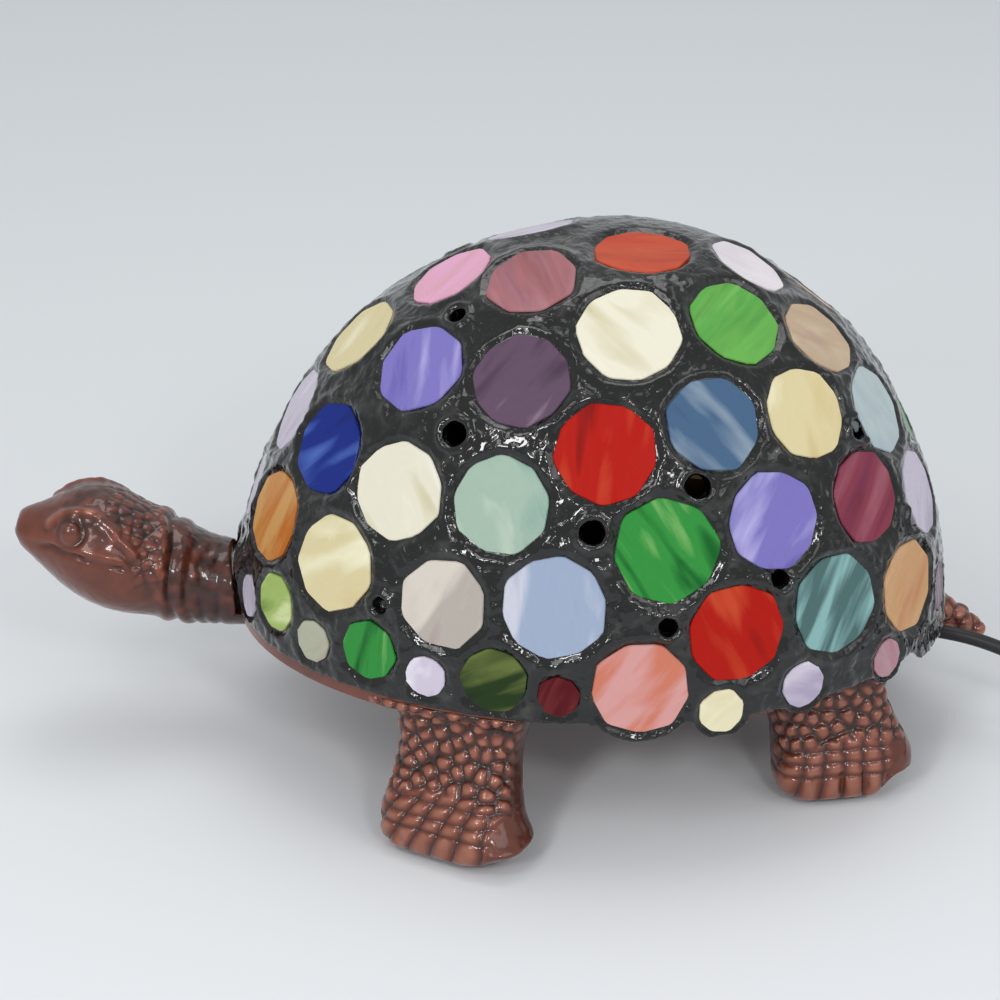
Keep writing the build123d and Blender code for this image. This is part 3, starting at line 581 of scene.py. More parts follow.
def carve_leg(name):
    """Leg with pebble scales on its broad face, and toes that fan out with knuckles and claws."""
    foot, turn, side = LEGS[name]
    pair = 0 if name in FRONT_LEGS else 1
    leg = leg_body(name)
    points, normals = read_points(leg.data)
    angle = math.radians(turn)
    along = np.array([math.cos(angle), side * math.sin(angle), 0])
    outward = np.array([math.sin(angle), -side * math.cos(angle), 0])
    across = (points - np.array([*foot, 0])) @ along
    height = points[:, 2]
    toes = step(TOE_TOP + TOE_EDGE, TOE_TOP - TOE_EDGE, height + TOE_ARCH * across**2)
    front = normals @ outward
    facing = step(*SCALE_FACE, front) * (1 - toes) + step(*TOE_FACE, front) * toes
    scales = pebbles(points, height > TOE_TOP - SCALE_LAP, LEG_SCALE, len(name))
    carved = scales * (1 - toes) + toe_plates(points, across, pair) * toes - PLAIN
    depth = (LEG_CARVING + TOE_CARVING * toes) * facing
    level = step(*LEG_FADE[pair], height) * step(*SOLE_FADE, height)
    carving = (carved * depth + lumps(points, *LEG_GRAIN)) * level
    moved = points + normals * carving[:, None]
    flare = FOOT_FLARE[pair] * step(*FLARE_ALONG, across) * step(*FLARE_HEIGHT, height)
    moved += flare[:, None] * along
    moved[:, 2] += FOOT_LIFT[pair] * step(*LIFT_ALONG, across) * step(*LIFT_HEIGHT, height)
    write_points(leg.data, moved)
    # Creases darker as patina and painted shade, the sides that face away darker as painted shade, the carved
    # tops lighter as wear and painted highlight
    store_tone_and_shade(leg.data, LEG_TONE + LEG_RELIEF * carved * facing - PAINTED_SIDE_SHADE * (1 - facing))
    return leg


def head_features(half, upward):
    """Height of brow, eye, mouth, nostrils, and the folds and creases of the neck."""
    along, side, _ = half.T
    from_eye = np.linalg.norm(half - np.array(EYE), axis=1)
    from_nostril = np.linalg.norm(half - np.array(NOSTRIL), axis=1)
    carving = ridge(near_line(half, BROW_LINE), *BROW)
    carving += ridge(near_line(half + BROW_HOLLOW_DROP * UP, BROW_LINE), *BROW_HOLLOW)
    carving += ridge(near_line(half, MOUTH_LINE), *MOUTH)
    carving += ridge(near_line(half - LIP_RISE * UP, MOUTH_LINE), *LIP)
    carving += ridge(from_eye, *EYEBALL) + ridge(from_eye - EYE_RING_RADIUS, *EYE_RING)
    carving += ridge(from_nostril, *NOSTRIL_RIM) + ridge(from_nostril, *NOSTRIL_HOLE)
    for number, (place, height) in enumerate(NECK_FOLDS):
        bend = FOLD_WAVE * np.sin(side / FOLD_SPAN + number)
        carving += ridge(along - place - bend, height, FOLD_WIDTH)
    for number, (place, depth, added) in enumerate(NECK_CREASES):
        bend = CREASE_WAVE * np.sin(side / CREASE_SPAN + number)
        carving -= ridge(along - place - bend, depth + added * step(*LOW_SIDE, upward), CREASE_WIDTH)
    return carving


def carve_head():
    """Head with its features, scales on the back and wrinkles on the crown."""
    head = skin_over("head_skin", cad_mesh("head_casting"), *HEAD_SKIN)
    points, normals = read_points(head.data)
    half = fold(points, 1)
    along = points[:, 0]
    upward = normals[:, 2]
    brow_x, _, brow_z = zip(*BROW_LINE)
    above = step(*ABOVE_BROW, points[:, 2] - np.interp(along, brow_x, brow_z, right=NAPE_HEIGHT))
    back = above * step(*CLEAR_OF_BROW, near_line(half, BROW_LINE))
    back *= step(*SCALES_FRONT, along) * step(*SCALES_REAR, along) * step(*SCALES_UP, upward)
    back *= 1 - NAPE_SMOOTH * step(*NAPE, along)
    scales = pebbles(points, back > SCALES_LEAST, *HEAD_SCALES)
    crown = step(*CROWN_REAR, along) * step(*CROWN_FRONT, along) * step(*CROWN_UP, upward)
    carving = head_features(half, upward) + (scales - HEAD_PLAIN) * HEAD_CARVING * back
    carving += lumps(points * WRINKLE_STRETCH, *CROWN_WRINKLES) * crown
    carving += lumps(points, *HEAD_GRAIN)
    carving *= step(*HEAD_END, along)
    write_points(head.data, points + normals * carving[:, None])
    # Patina on the crown; the darker neck next to the shell is painted shade
    on_crown = step(*PATINA_UP, upward) * step(*PATINA_FRONT, along)
    patina_and_shade = np.maximum(on_crown, PAINTED_NECK_SHADE_SHARE * step(*PAINTED_NECK_SHADE, along))
    patina_and_shade *= PATINA_AND_SHADE_SHARE + lumps(points, *PATINA_AND_SHADE_PATCHES)
    # Grooves darker as patina and painted shade, ridges and scale tops lighter as wear and painted highlight
    tone = HEAD_TONE + HEAD_RELIEF * carving + HEAD_SCALE_RELIEF * (scales - PLAIN) * back
    store_tone_and_shade(head.data, tone - PATINA_AND_SHADE_DARK * np.clip(patina_and_shade, 0, 1))
    return head


def carve_tail():
    """Skin of scales over the tail."""
    bm = cad_mesh("tray_casting")
    cut_away(bm, (TAIL_START, 0, 0), (-1, 0, 0))
    tail = skin_over("tail_skin", bm, *TAIL_SKIN)
    points, normals = read_points(tail.data)
    scales = pebbles(points, np.abs(points[:, 1]) < TAIL_SIDE, *TAIL_SCALES)
    carving = (TAIL_PROUD + scales * TAIL_CARVING) * step(TAIL_START, TAIL_FULL, points[:, 0])
    write_points(tail.data, points + normals * carving[:, None])
    # Creases darker as patina and painted shade, scale tops lighter as wear and painted highlight
    store_tone_and_shade(tail.data, TAIL_TONE + (1 - TAIL_TONE) * scales)
    return tail


# Shell

def pane_islands(node):
    """Loose pieces of a glass node, each as points in millimetres."""
    bm = cad_mesh(node)
    bm.verts.index_update()
    bm.verts.ensure_lookup_table()
    found = set()
    for start in range(len(bm.verts)):
        if start in found:
            continue
        island = {start}
        edge = {start}
        while edge:
            edge = {e.other_vert(bm.verts[v]).index for v in edge for e in bm.verts[v].link_edges} - island
            island |= edge
        found |= island
        yield np.array([bm.verts[v].co[:] for v in sorted(island)]) / MM
    bm.free()


def pane_frame(points):
    """Middle, axes, top height and corners of one pane."""
    middle = points.mean(axis=0)
    _, _, spans = np.linalg.svd(points - middle)
    outward = spans[2] if spans[2] @ (middle - DOME_MIDDLE) > 0 else -spans[2]
    right = np.cross(UP, outward)
    right /= np.linalg.norm(right)
    axes = np.array([right, np.cross(outward, right), outward])
    local = (points - middle) @ axes.T
    corners = local[local[:, 2] > 0][:, :2]
    corners = corners[np.argsort(np.arctan2(corners[:, 1], corners[:, 0]))]
    return middle, axes, local[:, 2].max(), corners


def rounded(corners, draw):
    """Outline with softened corners and a slightly uneven edge, as glass nipped by hand and ground."""
    outline = []
    for before, here, after in zip(np.roll(corners, 1, axis=0), corners, np.roll(corners, -1, axis=0)):
        start = here + CORNER_CUT * (before - here)
        end = here + CORNER_CUT * (after - here)
        for share in np.linspace(0, 1, CORNER_POINTS):
            outline.append((1 - share) ** 2 * start + 2 * share * (1 - share) * here + share**2 * end)
    outline = np.array(outline)
    reach = np.linalg.norm(outline, axis=1, keepdims=True)
    chips = draw.uniform(-EDGE_CHIPS, EDGE_CHIPS, (len(outline), 1))
    return outline * (1 + (PANE_TUCK + chips) / reach)


def from_vent(points, place):
    """Distance of each point from a vent on its own side of the shell."""
    return np.linalg.norm(fold(points, -1) - np.array(place), axis=1)


def clear_vents(outline, middle, axes):
    """Outline drawn in where the pane would show in a vent."""
    places = middle + outline @ axes[:2]
    gaps = [from_vent(places, vent) - radius for vent, radius in VENTS]
    draw_in = np.clip(VENT_CLEAR - np.min(gaps, axis=0), 0, PANE_TUCK)
    return outline * (1 - draw_in / np.linalg.norm(outline, axis=1))[:, None]


def pane_points(number, middle, axes, top, outline):
    """Points and faces of one pane: a flat, faintly rippled top, a ground edge and a plain underside."""
    count = len(outline)
    local = []
    for share, drop in PANE_RINGS:
        for x, y in outline * share:
            ripple = PANE_RIPPLE * noise.noise(Vector((x, y, number * RIPPLE_SHIFT)) / RIPPLE_SIZE)
            local.append((x, y, top + PANE_LIFT - drop + ripple * (drop == 0)))
    local += [(x, y, -top) for x, y in outline]
    local += [(0, 0, -top), (0, 0, top + PANE_LIFT)]
    underside = len(local) - 2
    crown = len(local) - 1
    lowest = len(PANE_RINGS) * count
    last = lowest - count
    faces = []
    for here in range(count):
        after = (here + 1) % count
        for low in range(0, last, count):
            high = low + count
            faces.append((low + here, low + after, high + after, high + here))
        faces.append((last + here, last + after, crown))
        faces.append((lowest + after, lowest + here, underside))
        faces.append((lowest + here, lowest + after, after, here))
    local = np.array(local)
    return middle + local @ axes, faces, local


def pane_wash(middle):
    """Colour that a pane has besides its tint's own, and the share of it."""
    for place, color, share in WASHES:
        if np.linalg.norm(middle - np.array(place)) < WASH_REACH:
            return srgb(*color)[:3], share
    return (0, 0, 0), 0


def build_panes(tint, first_number):
    """All panes of one tint as one object, with the place and shade of each pane kept for the glass."""
    points, faces, frames = [], [], []
    kept = {"pane_place": [], "pane_wash": [], "pane_shade": [], "pane_wash_share": []}
    for number, island in enumerate(pane_islands("glass_" + tint), first_number):
        middle, axes, top, corners = pane_frame(island)
        draw = np.random.default_rng(PANE_SEED + number)
        spin = draw.uniform(-GRAIN_SPIN, GRAIN_SPIN)
        shade = draw.uniform()
        outline = clear_vents(rounded(corners, draw), middle, axes)
        frames.append((middle, axes, top + PANE_LIFT, outline))
        pane, pane_faces, local = pane_points(number, middle, axes, top, outline)
        count = len(local)
        faces += [[len(points) + corner for corner in face] for face in pane_faces]
        points += list(pane)
        spread = GRAIN_SIZE * min(1, np.linalg.norm(outline, axis=1).mean() / FULL_PANE)
        across = (local[:, 0] * math.cos(spin) + local[:, 1] * math.sin(spin)) / spread
        along = (local[:, 1] * math.cos(spin) - local[:, 0] * math.sin(spin)) / spread
        wash, wash_share = pane_wash(middle)
        kept["pane_place"] += list(zip(across, along, np.full(count, number * GRAIN_SHIFT)))
        kept["pane_wash"] += [wash] * count
        kept["pane_shade"] += [shade] * count
        kept["pane_wash_share"] += [wash_share] * count
    panes = mesh_object("panes_" + tint, points, faces)
    for name, values in kept.items():
        store(panes.data, name, np.array(values))
    return panes, frames


def pane_edge(points, pane):
    """Points near a pane: which ones, in the pane's own axes, and how far outside its outline."""
    middle, axes, _, outline = pane
    local = (points - middle) @ axes.T
    across = np.hypot(local[:, 0], local[:, 1])
    near = (np.abs(local[:, 2]) < PANE_DEPTH) & (across < PANE_REACH)
    local = local[near]
    angles = np.arctan2(outline[:, 1], outline[:, 0])
    order = np.argsort(angles)
    reach = np.linalg.norm(outline, axis=1)[order]
    rim = np.interp(np.arctan2(local[:, 1], local[:, 0]), angles[order], reach, period=2 * math.pi)
    return near, local, across[near] - rim


def solder_body():
    """Softened skin of the lattice, with one low vent filled on each side."""
    bm = cad_mesh("solder_came")
    (x, y, z), radius = VENT_FILL
    for side in (1, -1):
        place = Matrix.Translation(Vector((x, side * y, z)) * MM)
        bmesh.ops.create_icosphere(bm, subdivisions=3, radius=radius * MM, matrix=place)
    return skin_over("solder_skin", bm, *SOLDER_SKIN)


def neck_wall(points):
    """How far the front wall over the neck stands out at each point."""
    height = points[:, 2]
    beside = step(*NECK_WALL_SIDE, np.abs(points[:, 1])) * (points[:, 0] < NECK_WALL_FRONT)
    return NECK_WALL * beside * step(*NECK_WALL_FOOT, height) * step(*NECK_WALL_TOP, height)


def solder_lumps(points):
    """Lumps in the solder, with a rim round each vent and a blind dimple on each side."""
    rough = sum(lumps(points, *kind) for kind in SOLDER_LUMPS)
    rough *= 1 - TOP_SMOOTH * step(*TOP_FADE, points[:, 2])
    for place, radius in VENTS:
        rough += ridge(from_vent(points, place) - radius - VENT_RIM_OUT, *VENT_RIM)
    return rough - DIMPLE_DEPTH * step(*DIMPLE_EDGE, from_vent(points, DIMPLE))


def rear_border(points):
    """Shift of the rear border's outer rim, down and out over the plate's edge."""
    away = (points - DOME_MIDDLE) * (1 - UP)
    reach = np.linalg.norm(away, axis=1)
    side = np.abs(points[:, 1])
    height = points[:, 2]
    cell = np.round(np.arctan2(away[:, 1], away[:, 0]) / APRON_CELL).astype(int)
    cell -= cell.min()
    rim = height < APRON_RIM
    outer = np.zeros(cell.max() + 1)
    np.maximum.at(outer, cell[rim], reach[rim])
    share = step(*APRON_SKIN, outer[cell] - reach) * step(*APRON_TOP, height)
    share *= step(*APRON_FRONT, points[:, 0]) * step(*APRON_TAIL, side) * step(*APRON_SIDE, side)
    drop = np.maximum(height - APRON_LOW, 0)
    return share[:, None] * (APRON_OUT * away / reach[:, None] - drop[:, None] * UP)


def build_solder(panes):
    """Solder lattice: level with the panes at their edges, raised between them, with lumps."""
    solder = solder_body()
    points, normals = read_points(solder.data)
    away = points - DOME_MIDDLE
    outside = step(*OUTSIDE, np.einsum("ij,ij->i", normals, away) / np.linalg.norm(away, axis=1))
    pull = np.zeros((len(points), 3))
    weights = np.zeros(len(points))
    least = np.full(len(points), NO_PANE)
    for pane in panes:
        _, axes, top, _ = pane
        near, local, edge = pane_edge(points, pane)
        least[near] = np.minimum(least[near], edge)
        bead = SOLDER_BEAD - ridge(np.maximum(edge - EDGE_STEP, 0), SOLDER_BEAD, BEAD_WIDTH)
        weight = ridge(np.maximum(edge, 0), 1, PULL_WIDTH) * (edge > -PULL_INSIDE)
        lift = top - EDGE_DROP + bead - local[:, 2]
        pull[near] += (weight * lift)[:, None] * axes[2]
        weights[near] += weight
    growth = (solder_lumps(points) + neck_wall(points)) * step(*LUMPS_START, least) * outside
    points = points + pull * (outside / np.maximum(weights, 1))[:, None] + normals * growth[:, None]
    for pane in panes:
        _, axes, top, _ = pane
        near, local, edge = pane_edge(points, pane)
        over = np.where(edge < UNDER_EDGE, np.maximum(local[:, 2] - top + UNDER_PANE, 0), 0)
        points[near] -= over[:, None] * axes[2]
    points += rear_border(points)
    write_points(solder.data, points)
    return solder


# Materials

# Share and colour along the ramps of the bronze, the solder and the bulb's glass
# On the carved castings the bronze ramp's dark end is patina and painted shade in the creases, its pale end
# rubbed wear and painted highlight on the high places
BRONZE_STOPS = ((0.15, (36, 18, 11)), (0.45, (82, 37, 24)), (0.72, (120, 60, 41)), (1.0, (166, 110, 88)))
SOLDER_STOPS = ((0.3, (6, 6, 6)), (0.55, (16, 16, 15)), (0.75, (60, 60, 58)))
CLEAR_STOPS = ((0.3, (240, 240, 236)), (0.7, (252, 252, 250)))
# Shares at which a pane's glass is deep, body, body and pale
GLASS_STOPS = (0.32, 0.47, 0.57, 0.72)
# Glass: deep, body and pale colour of each tint, and how streaky it is
TINTS = {
    "amber": ((184, 106, 40), (200, 150, 90), (238, 214, 180), 1.2),
    "aubergine": ((50, 36, 52), (90, 70, 90), (156, 130, 146), 1.2),
    "cobalt": ((10, 20, 76), (18, 40, 124), (72, 100, 178), 1.0),
    "cream": ((202, 182, 132), (212, 200, 156), (234, 230, 200), 0.7),
    "forest": ((16, 30, 12), (32, 52, 20), (96, 108, 54), 1.0),
    "garnet": ((84, 14, 18), (134, 56, 56), (186, 122, 124), 1.1),
    "lavender": ((168, 158, 182), (200, 192, 208), (230, 224, 234), 0.7),
    "leaf": ((18, 92, 36), (48, 136, 58), (140, 188, 112), 1.5),
    "lime": ((112, 140, 56), (158, 184, 98), (214, 222, 164), 1.0),
    "mauve": ((160, 130, 132), (174, 166, 158), (206, 198, 188), 0.9),
    "peach": ((198, 118, 96), (206, 150, 146), (228, 192, 194), 1.3),
    "pearl": ((196, 188, 154), (219, 215, 195), (233, 230, 217), 0.9),
    "periwinkle": ((74, 66, 146), (120, 112, 180), (172, 166, 214), 1.1),
    "red": ((120, 4, 0), (168, 16, 2), (190, 66, 36), 1.1),
    "seafoam": ((112, 152, 142), (154, 176, 160), (198, 208, 188), 0.8),
    "sky": ((124, 148, 188), (150, 164, 188), (194, 196, 208), 0.8),
    "steel": ((34, 60, 94), (60, 90, 122), (136, 152, 166), 1.0),
    "teal": ((84, 66, 64), (76, 106, 106), (134, 176, 174), 1.9),
}
# Stretch of the streaks across, along, and from pane to pane
GRAIN_STRETCH = (1.1, 0.26, 1.0)
# Plain finishes: material, dark and pale colour, grain, roughness, bump and share of metal
FINISHES = {
    "cord": ("black_vinyl", (10, 10, 11), (24, 24, 25), 400, 0.42, 0.2, 0.0),
    "plastic": ("black_moulding", (14, 14, 15), (26, 26, 27), 900, 0.38, 0.25, 0.0),
    "plug": ("black_plug", (12, 12, 12), (24, 24, 24), 700, 0.5, 0.3, 0.0),
    "steel": ("steel", (120, 120, 122), (176, 176, 178), 800, 0.32, 0.1, 1.0),
    "brass": ("brass", (142, 108, 52), (190, 152, 84), 500, 0.28, 0.1, 1.0),
    "ink": ("black_insulator", (8, 7, 10), (20, 18, 24), 500, 0.15, 0.05, 0.0),
    "lead": ("lead_insulation", (196, 188, 168), (222, 216, 198), 500, 0.5, 0.1, 0.0),
    "pad": ("dark_pad", (18, 17, 16), (40, 38, 36), 900, 0.85, 0.6, 0.0),
}


def srgb(red, green, blue):
    """Linear colour of a screen colour from 0 to 255."""
    shares = [value / 255 for value in (red, green, blue)]
    return (*[s / 12.92 if s <= 0.04045 else ((s + 0.055) / 1.055) ** 2.4 for s in shares], 1)


class Shader:
    """One material and its nodes."""

    def __init__(self, name, **values):
        self.material = bpy.data.materials.new(name)
        self.material.use_nodes = True
        self.tree = self.material.node_tree
        self.surface = self.tree.nodes["Principled BSDF"]
        for socket, value in values.items():
            self.surface.inputs[socket.replace("_", " ")].default_value = value

    def add(self, kind, inputs=None, **settings):
        """Node with its settings, and its inputs linked or set."""
        node = self.tree.nodes.new("ShaderNode" + kind)
        for key, value in settings.items():
            setattr(node, key, value)
        for key, value in (inputs or {}).items():
            if isinstance(value, bpy.types.NodeSocket):
                self.tree.links.new(value, node.inputs[key])
            else:
                node.inputs[key].default_value = value
        return node

    def place(self):
        return self.add("TexCoord").outputs["Object"]

    def attribute(self, name, output="Fac"):
        return self.add("Attribute", attribute_name=name).outputs[output]

    def noise(self, scale, detail, vector=None, distortion=0.0):
        inputs = {"Scale": scale, "Detail": detail, "Distortion": distortion}
        inputs["Vector"] = vector or self.place()
        return self.add("TexNoise", inputs).outputs["Fac"]

    def math(self, operation, first, second):
        return self.add("Math", {0: first, 1: second}, operation=operation).outputs[0]

    def weigh(self, first, first_share, second, second_share):
        """Sum of two values, each times its share."""
        first_part = self.math("MULTIPLY", first, first_share)
        second_part = self.math("MULTIPLY", second, second_share)
        return self.math("ADD", first_part, second_part)

    def ramp(self, share, stops):
        """Colour along a ramp of screen colours."""
        node = self.add("ValToRGB", {"Fac": share})
        elements = node.color_ramp.elements
        while len(elements) < len(stops):
            elements.new(0.5)
        for element, (place, color) in zip(elements, stops):
            element.position = place
            element.color = srgb(*color)
        return node.outputs["Color"]

    def range(self, share, low, high, start=0.0, end=1.0):
        """Value from low to high as a share goes from start to end."""
        inputs = {"Value": share, "From Min": start, "From Max": end, "To Min": low, "To Max": high}
        return self.add("MapRange", inputs).outputs["Result"]

    def mix(self, share, first, second):
        return self.add("Mix", {0: share, 6: first, 7: second}, data_type="RGBA").outputs[2]

    def bump(self, height, strength, distance):
        """Fine relief, with its depth in millimetres."""
        inputs = {"Height": height, "Strength": strength, "Distance": distance * MM}
        self.connect("Normal", self.add("Bump", inputs).outputs["Normal"])

    def connect(self, socket, output):
        self.tree.links.new(output, self.surface.inputs[socket])


def bronze(name, carved):
    """Reddish-brown bronze paint, dark in the creases with patina and painted shade, lighter on the high
    places with rubbed wear and painted highlight.
    """
    shader = Shader(name, Metallic=0.2, Specular_IOR_Level=0.3, Coat_Weight=0.7, Coat_Roughness=0.1)
    mottle = shader.noise(scale=220, detail=6)
    # On the carved castings the stored tone carries patina, painted shade and painted highlight; on the tray
    # it is random mottle
    if carved:
        high = shader.attribute("relief")
    else:
        high = shader.range(shader.noise(scale=70, detail=3), low=0.4, high=0.75)
    share = shader.weigh(high, 0.8, mottle, 0.25)
    shader.connect("Base Color", shader.ramp(share, BRONZE_STOPS))
    shader.connect("Roughness", shader.range(mottle, low=0.28, high=0.48))
    shader.bump(shader.noise(scale=900, detail=3), strength=0.25, distance=0.25)
    return shader.material


def solder_metal():
    """Black-patina solder: dark grey and glossy, with small bright dimples."""
    shader = Shader("solder", Metallic=0.6, Coat_Weight=0.75, Coat_Roughness=0.05)
    mottle = shader.noise(scale=160, detail=5, distortion=0.4)
    shader.connect("Base Color", shader.ramp(mottle, SOLDER_STOPS))
    shader.connect("Roughness", shader.range(shader.noise(scale=420, detail=4), low=0.07, high=0.2))
    shader.bump(shader.noise(scale=320, detail=1, distortion=0.8), strength=0.75, distance=1.1)
    return shader.material


def glass(tint):
    """Streaky opalescent glass: the colours run in soft bands along each pane's own grain."""
    deep, body, pale, streaks = TINTS[tint]
    shader = Shader("glass_" + tint, IOR=1.5, Specular_IOR_Level=0.16)
    place = shader.attribute("pane_place", "Vector")
    across, along, apart = GRAIN_STRETCH
    scale = (across * streaks, along, apart)
    stretch = shader.add("VectorMath", {0: place, 1: scale}, operation="MULTIPLY").outputs[0]
    bands = shader.noise(scale=1.0, detail=1, vector=stretch, distortion=0.6)
    wisps = shader.noise(scale=2.4, detail=3, vector=stretch, distortion=0.9)
    own = shader.range(shader.attribute("pane_shade"), low=-0.08, high=0.08)
    share = shader.math("ADD", shader.weigh(bands, 0.8, wisps, 0.2), own)
    tinted = shader.ramp(share, tuple(zip(GLASS_STOPS, (deep, body, body, pale))))
    swirl = shader.noise(scale=1.5, detail=2, vector=stretch, distortion=1.2)
    uneven = shader.range(swirl, low=0.3, high=1.7)
    wash_share = shader.math("MULTIPLY", uneven, shader.attribute("pane_wash_share"))
    washed = shader.mix(wash_share, tinted, shader.attribute("pane_wash", "Color"))
    shader.connect("Base Color", washed)
    shader.connect("Roughness", shader.range(wisps, low=0.2, high=0.34))
    shader.bump(shader.noise(scale=3.0, detail=3, vector=place), strength=0.15, distance=0.4)
    return shader.material


def grained(name, dark, pale, scale, roughness, bump, metal):
    """Plain surface with a fine grain in its colour, gloss and height."""
    shader = Shader(name, Metallic=metal)
    grain = shader.noise(scale=scale, detail=5)
    shader.connect("Base Color", shader.ramp(grain, ((0.3, dark), (0.7, pale))))
    shader.connect("Roughness", shader.range(grain, low=roughness - 0.06, high=roughness + 0.08))
    shader.bump(shader.noise(scale=3 * scale, detail=3), strength=bump, distance=0.15)
    return shader.material


def clear_glass():
    """Thin clear glass of the bulb."""
    shader = Shader("bulb_glass", Transmission_Weight=1.0, IOR=1.45)
    haze = shader.noise(scale=60, detail=3)
    shader.connect("Base Color", shader.ramp(haze, CLEAR_STOPS))
    shader.connect("Roughness", shader.range(haze, low=0.02, high=0.06))
    return shader.material


def dress(obj, material, slot=None):
    """Gives an object its only material; the slot argument is not used."""
    obj.data.materials.clear()
    obj.data.materials.append(material)
    return obj


def soften_edges(node, width):
    """Small rounded edges on a CAD node, as a moulded or cast piece has."""
    weld = nodes[node].modifiers.new("weld", "WELD")
    weld.merge_threshold = MERGE * MM
    bevel = nodes[node].modifiers.new("edge", "BEVEL")
    bevel.width = width * MM
    bevel.segments = EDGE_SEGMENTS
    bevel.limit_method = "ANGLE"
    bevel.angle_limit = math.radians(EDGE_ANGLE)


# Cord

def coil_points():
    """Turns of the put-away coil: spiralling in and out, layer on layer."""
    centre_x, centre_y, height = FEED_ROUTE[-1]
    centre_x -= COIL_RADIUS
    radius = COIL_RADIUS
    spread = 1 / math.cos(math.pi / (2 * COIL_POINTS))
    angles = [math.pi * (number + 0.5) / COIL_POINTS for number in range(COIL_POINTS)]
    points = []
    for layer in range(COIL_LAYERS):
        shift = COIL_PITCH / 2 if layer % 2 else -COIL_PITCH / 2
        for turn in range(COIL_TURNS):
            climb = COIL_PITCH if layer and not turn else 0
            reach = radius * spread
            for angle in angles:
                x = centre_x + reach * math.cos(angle)
                rise = climb * (1 - math.cos(angle)) / 2
                points.append((x, centre_y + reach * math.sin(angle), height + rise))
            height += climb
            reach = (radius + shift) * spread
            for angle in angles:
                x = centre_x + shift - reach * math.cos(angle)
                points.append((x, centre_y - reach * math.sin(angle), height))
            radius += 2 * shift
    return points


def build_cord():
    """One smooth cord from the strain relief through the switch and the coil to the plug."""
    route = [*LEAD_ROUTE, *FEED_ROUTE, *coil_points(), *END_ROUTE]
    curve = bpy.data.curves.new("cord", "CURVE")
    curve.dimensions = "3D"
    curve.bevel_depth = CORD_RADIUS * MM
    curve.bevel_resolution = 4
    curve.resolution_u = 6
    spline = curve.splines.new("NURBS")
    spline.points.add(len(route) - 1)
    for point, place in zip(spline.points, route):
        point.co = (*[value * MM for value in place], 1)
    spline.order_u = 3
    spline.use_endpoint_u = True
    return link_object("cord", curve)


def dress_cord(materials):
    """Cord, with the switch, tie and plug that lie on it."""
    cord = dress(build_cord(), materials["cord"], "cord")
    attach(cord, "base")
    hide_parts("cord_lead", "cord_feed", "cord_coil", "cord_end")
    for name, finish in CORD_PIECES.items():
        dress(nodes[name], materials[finish])
        soften_edges(name, CORD_EDGE)
    exit_point = [value * MM for value in LEAD_ROUTE[0]]


# Bulb and holder

def threaded(name, node, depth, pitch, wall):
    """Upright tube with a rolled thread, as large as a CAD node."""
    low, high = [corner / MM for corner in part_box(node)]
    middle = (low.x + high.x) / 2
    radius = (high.x - low.x) / 2
    inner = radius - wall
    rows = int((high.z - low.z) / pitch * THREAD_ROWS)
    angles = [2 * math.pi * number / THREAD_POINTS for number in range(THREAD_POINTS)]
    points, faces = [], []
    for row in range(rows + 1):
        share = row / rows
        ends = min(1, THREAD_ENDS * share, THREAD_ENDS * (1 - share))
        z = low.z + share * (high.z - low.z)
        for angle in angles:
            turn = 2 * math.pi * z / pitch - angle
            reach = radius - depth * ends * (0.5 - 0.5 * math.cos(turn))
            points.append((middle + reach * math.cos(angle), reach * math.sin(angle), z))
    for z in (high.z, low.z):
        points += [(middle + inner * math.cos(angle), inner * math.sin(angle), z) for angle in angles]
    for first in range(0, len(points), THREAD_POINTS):
        second = (first + THREAD_POINTS) % len(points)
        for number in range(THREAD_POINTS):
            after = (number + 1) % THREAD_POINTS
            faces.append((first + number, first + after, second + after, second + number))
    return shade_smooth(mesh_object(name, points, faces))


def build_bulb(materials):
    """Bulb and holder: threaded cap and nipple, and finishes on the CAD pieces."""
    for node, name, finish, slot, body, depth, pitch, wall in THREADS:
        piece = dress(threaded(name, node, depth, pitch, wall), materials[finish], slot)
        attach(piece, body)
        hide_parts(node)
    for name, finish in HOLDER_PIECES.items():
        dress(nodes[name], materials[finish])
    for name in ROUNDED_PIECES:
        soften_edges(name, HOLDER_EDGE)


# Stage

def build_floor():
    """Pale floor that fills the view, darker towards the back as painted shade."""
    corners = [(FLOOR_REACH * x, FLOOR_REACH * y, 0) for x, y in ((-1, -1), (1, -1), (1, 1), (-1, 1))]
    floor = mesh_object("floor", corners, [(0, 1, 2, 3)])
    shader = Shader("floor_paper", Roughness=0.7)
    axes = shader.add("SeparateXYZ", {0: shader.place()})
    # Painted shade: the floor's colour darkens towards the far end
    back = shader.range(axes.outputs["Y"], 0.0, 1.0, *FLOOR_SHADE_FADE)
    shader.connect("Base Color", shader.ramp(back, FLOOR_SHADE_STOPS))
    dress(floor, shader.material)


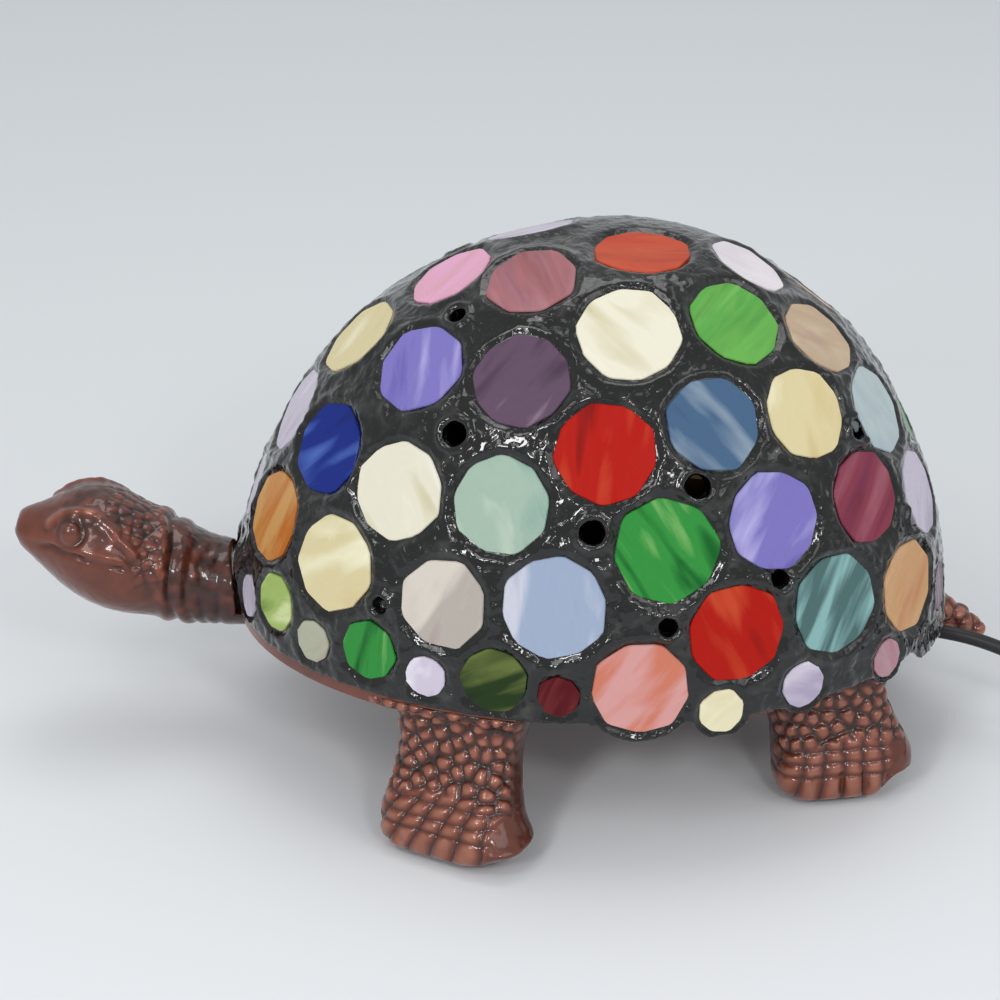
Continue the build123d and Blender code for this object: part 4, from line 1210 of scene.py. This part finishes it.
def area_light(name, place, size, power):
    """Soft square light, aimed at the part."""
    light = bpy.data.lights.new(name, "AREA")
    light.size = size
    light.energy = power
    obj = link_object(name, light)
    obj.location = place
    obj.rotation_euler = (LIGHT_AIM - Vector(place)).to_track_quat("-Z", "Y").to_euler()


def build_stage():
    """Floor, lights, world and camera."""
    build_floor()
    for light in LIGHTS:
        area_light(*light)
    world = bpy.data.worlds.new("studio")
    world.use_nodes = True
    background = world.node_tree.nodes["Background"]
    background.inputs["Color"].default_value = WORLD_COLOR
    background.inputs["Strength"].default_value = WORLD_STRENGTH
    bpy.context.scene.world = world
    camera = bpy.data.cameras.new("camera")
    camera.lens = CAMERA_LENS
    view = link_object("camera", camera)
    tilt = math.radians(CAMERA_ELEVATION)
    view.location = CAMERA_AIM + CAMERA_DISTANCE * Vector((0, -math.cos(tilt), math.sin(tilt)))
    view.rotation_euler = (math.pi / 2 - tilt, 0, 0)
    bpy.context.scene.camera = view
    bpy.context.scene.view_settings.view_transform = "Standard"


# Part

def build_shell():
    """Panes and solder, which lift together."""
    frames = []
    for tint in TINTS:
        panes, found = build_panes(tint, len(frames))
        frames += found
        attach(dress(panes, glass(tint), "glass_" + tint), "shade")
        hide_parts("glass_" + tint)
    solder = dress(build_solder(frames), solder_metal(), "solder")
    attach(solder, "shade")
    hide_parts("solder_came")


def build_castings():
    """Tray, head, legs and tail."""
    carved = bronze("bronze_carved", True)
    for name in LEGS:
        leg = dress(carve_leg(name), carved, "bronze")
        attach(leg, "base")
        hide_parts(name)
    head = dress(carve_head(), carved, "bronze")
    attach(head, "base")
    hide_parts("head_casting")
    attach(dress(carve_tail(), carved, "bronze"), "base")
    dress(nodes["tray_casting"], bronze("bronze_plain", False))
    soften_edges("tray_casting", TRAY_EDGE)


def main():
    """Builds the stage and the part."""
    materials = {finish: grained(*values) for finish, values in FINISHES.items()}
    materials["clear"] = clear_glass()
    build_stage()
    dress_cord(materials)
    build_castings()
    build_shell()
    build_bulb(materials)


main()
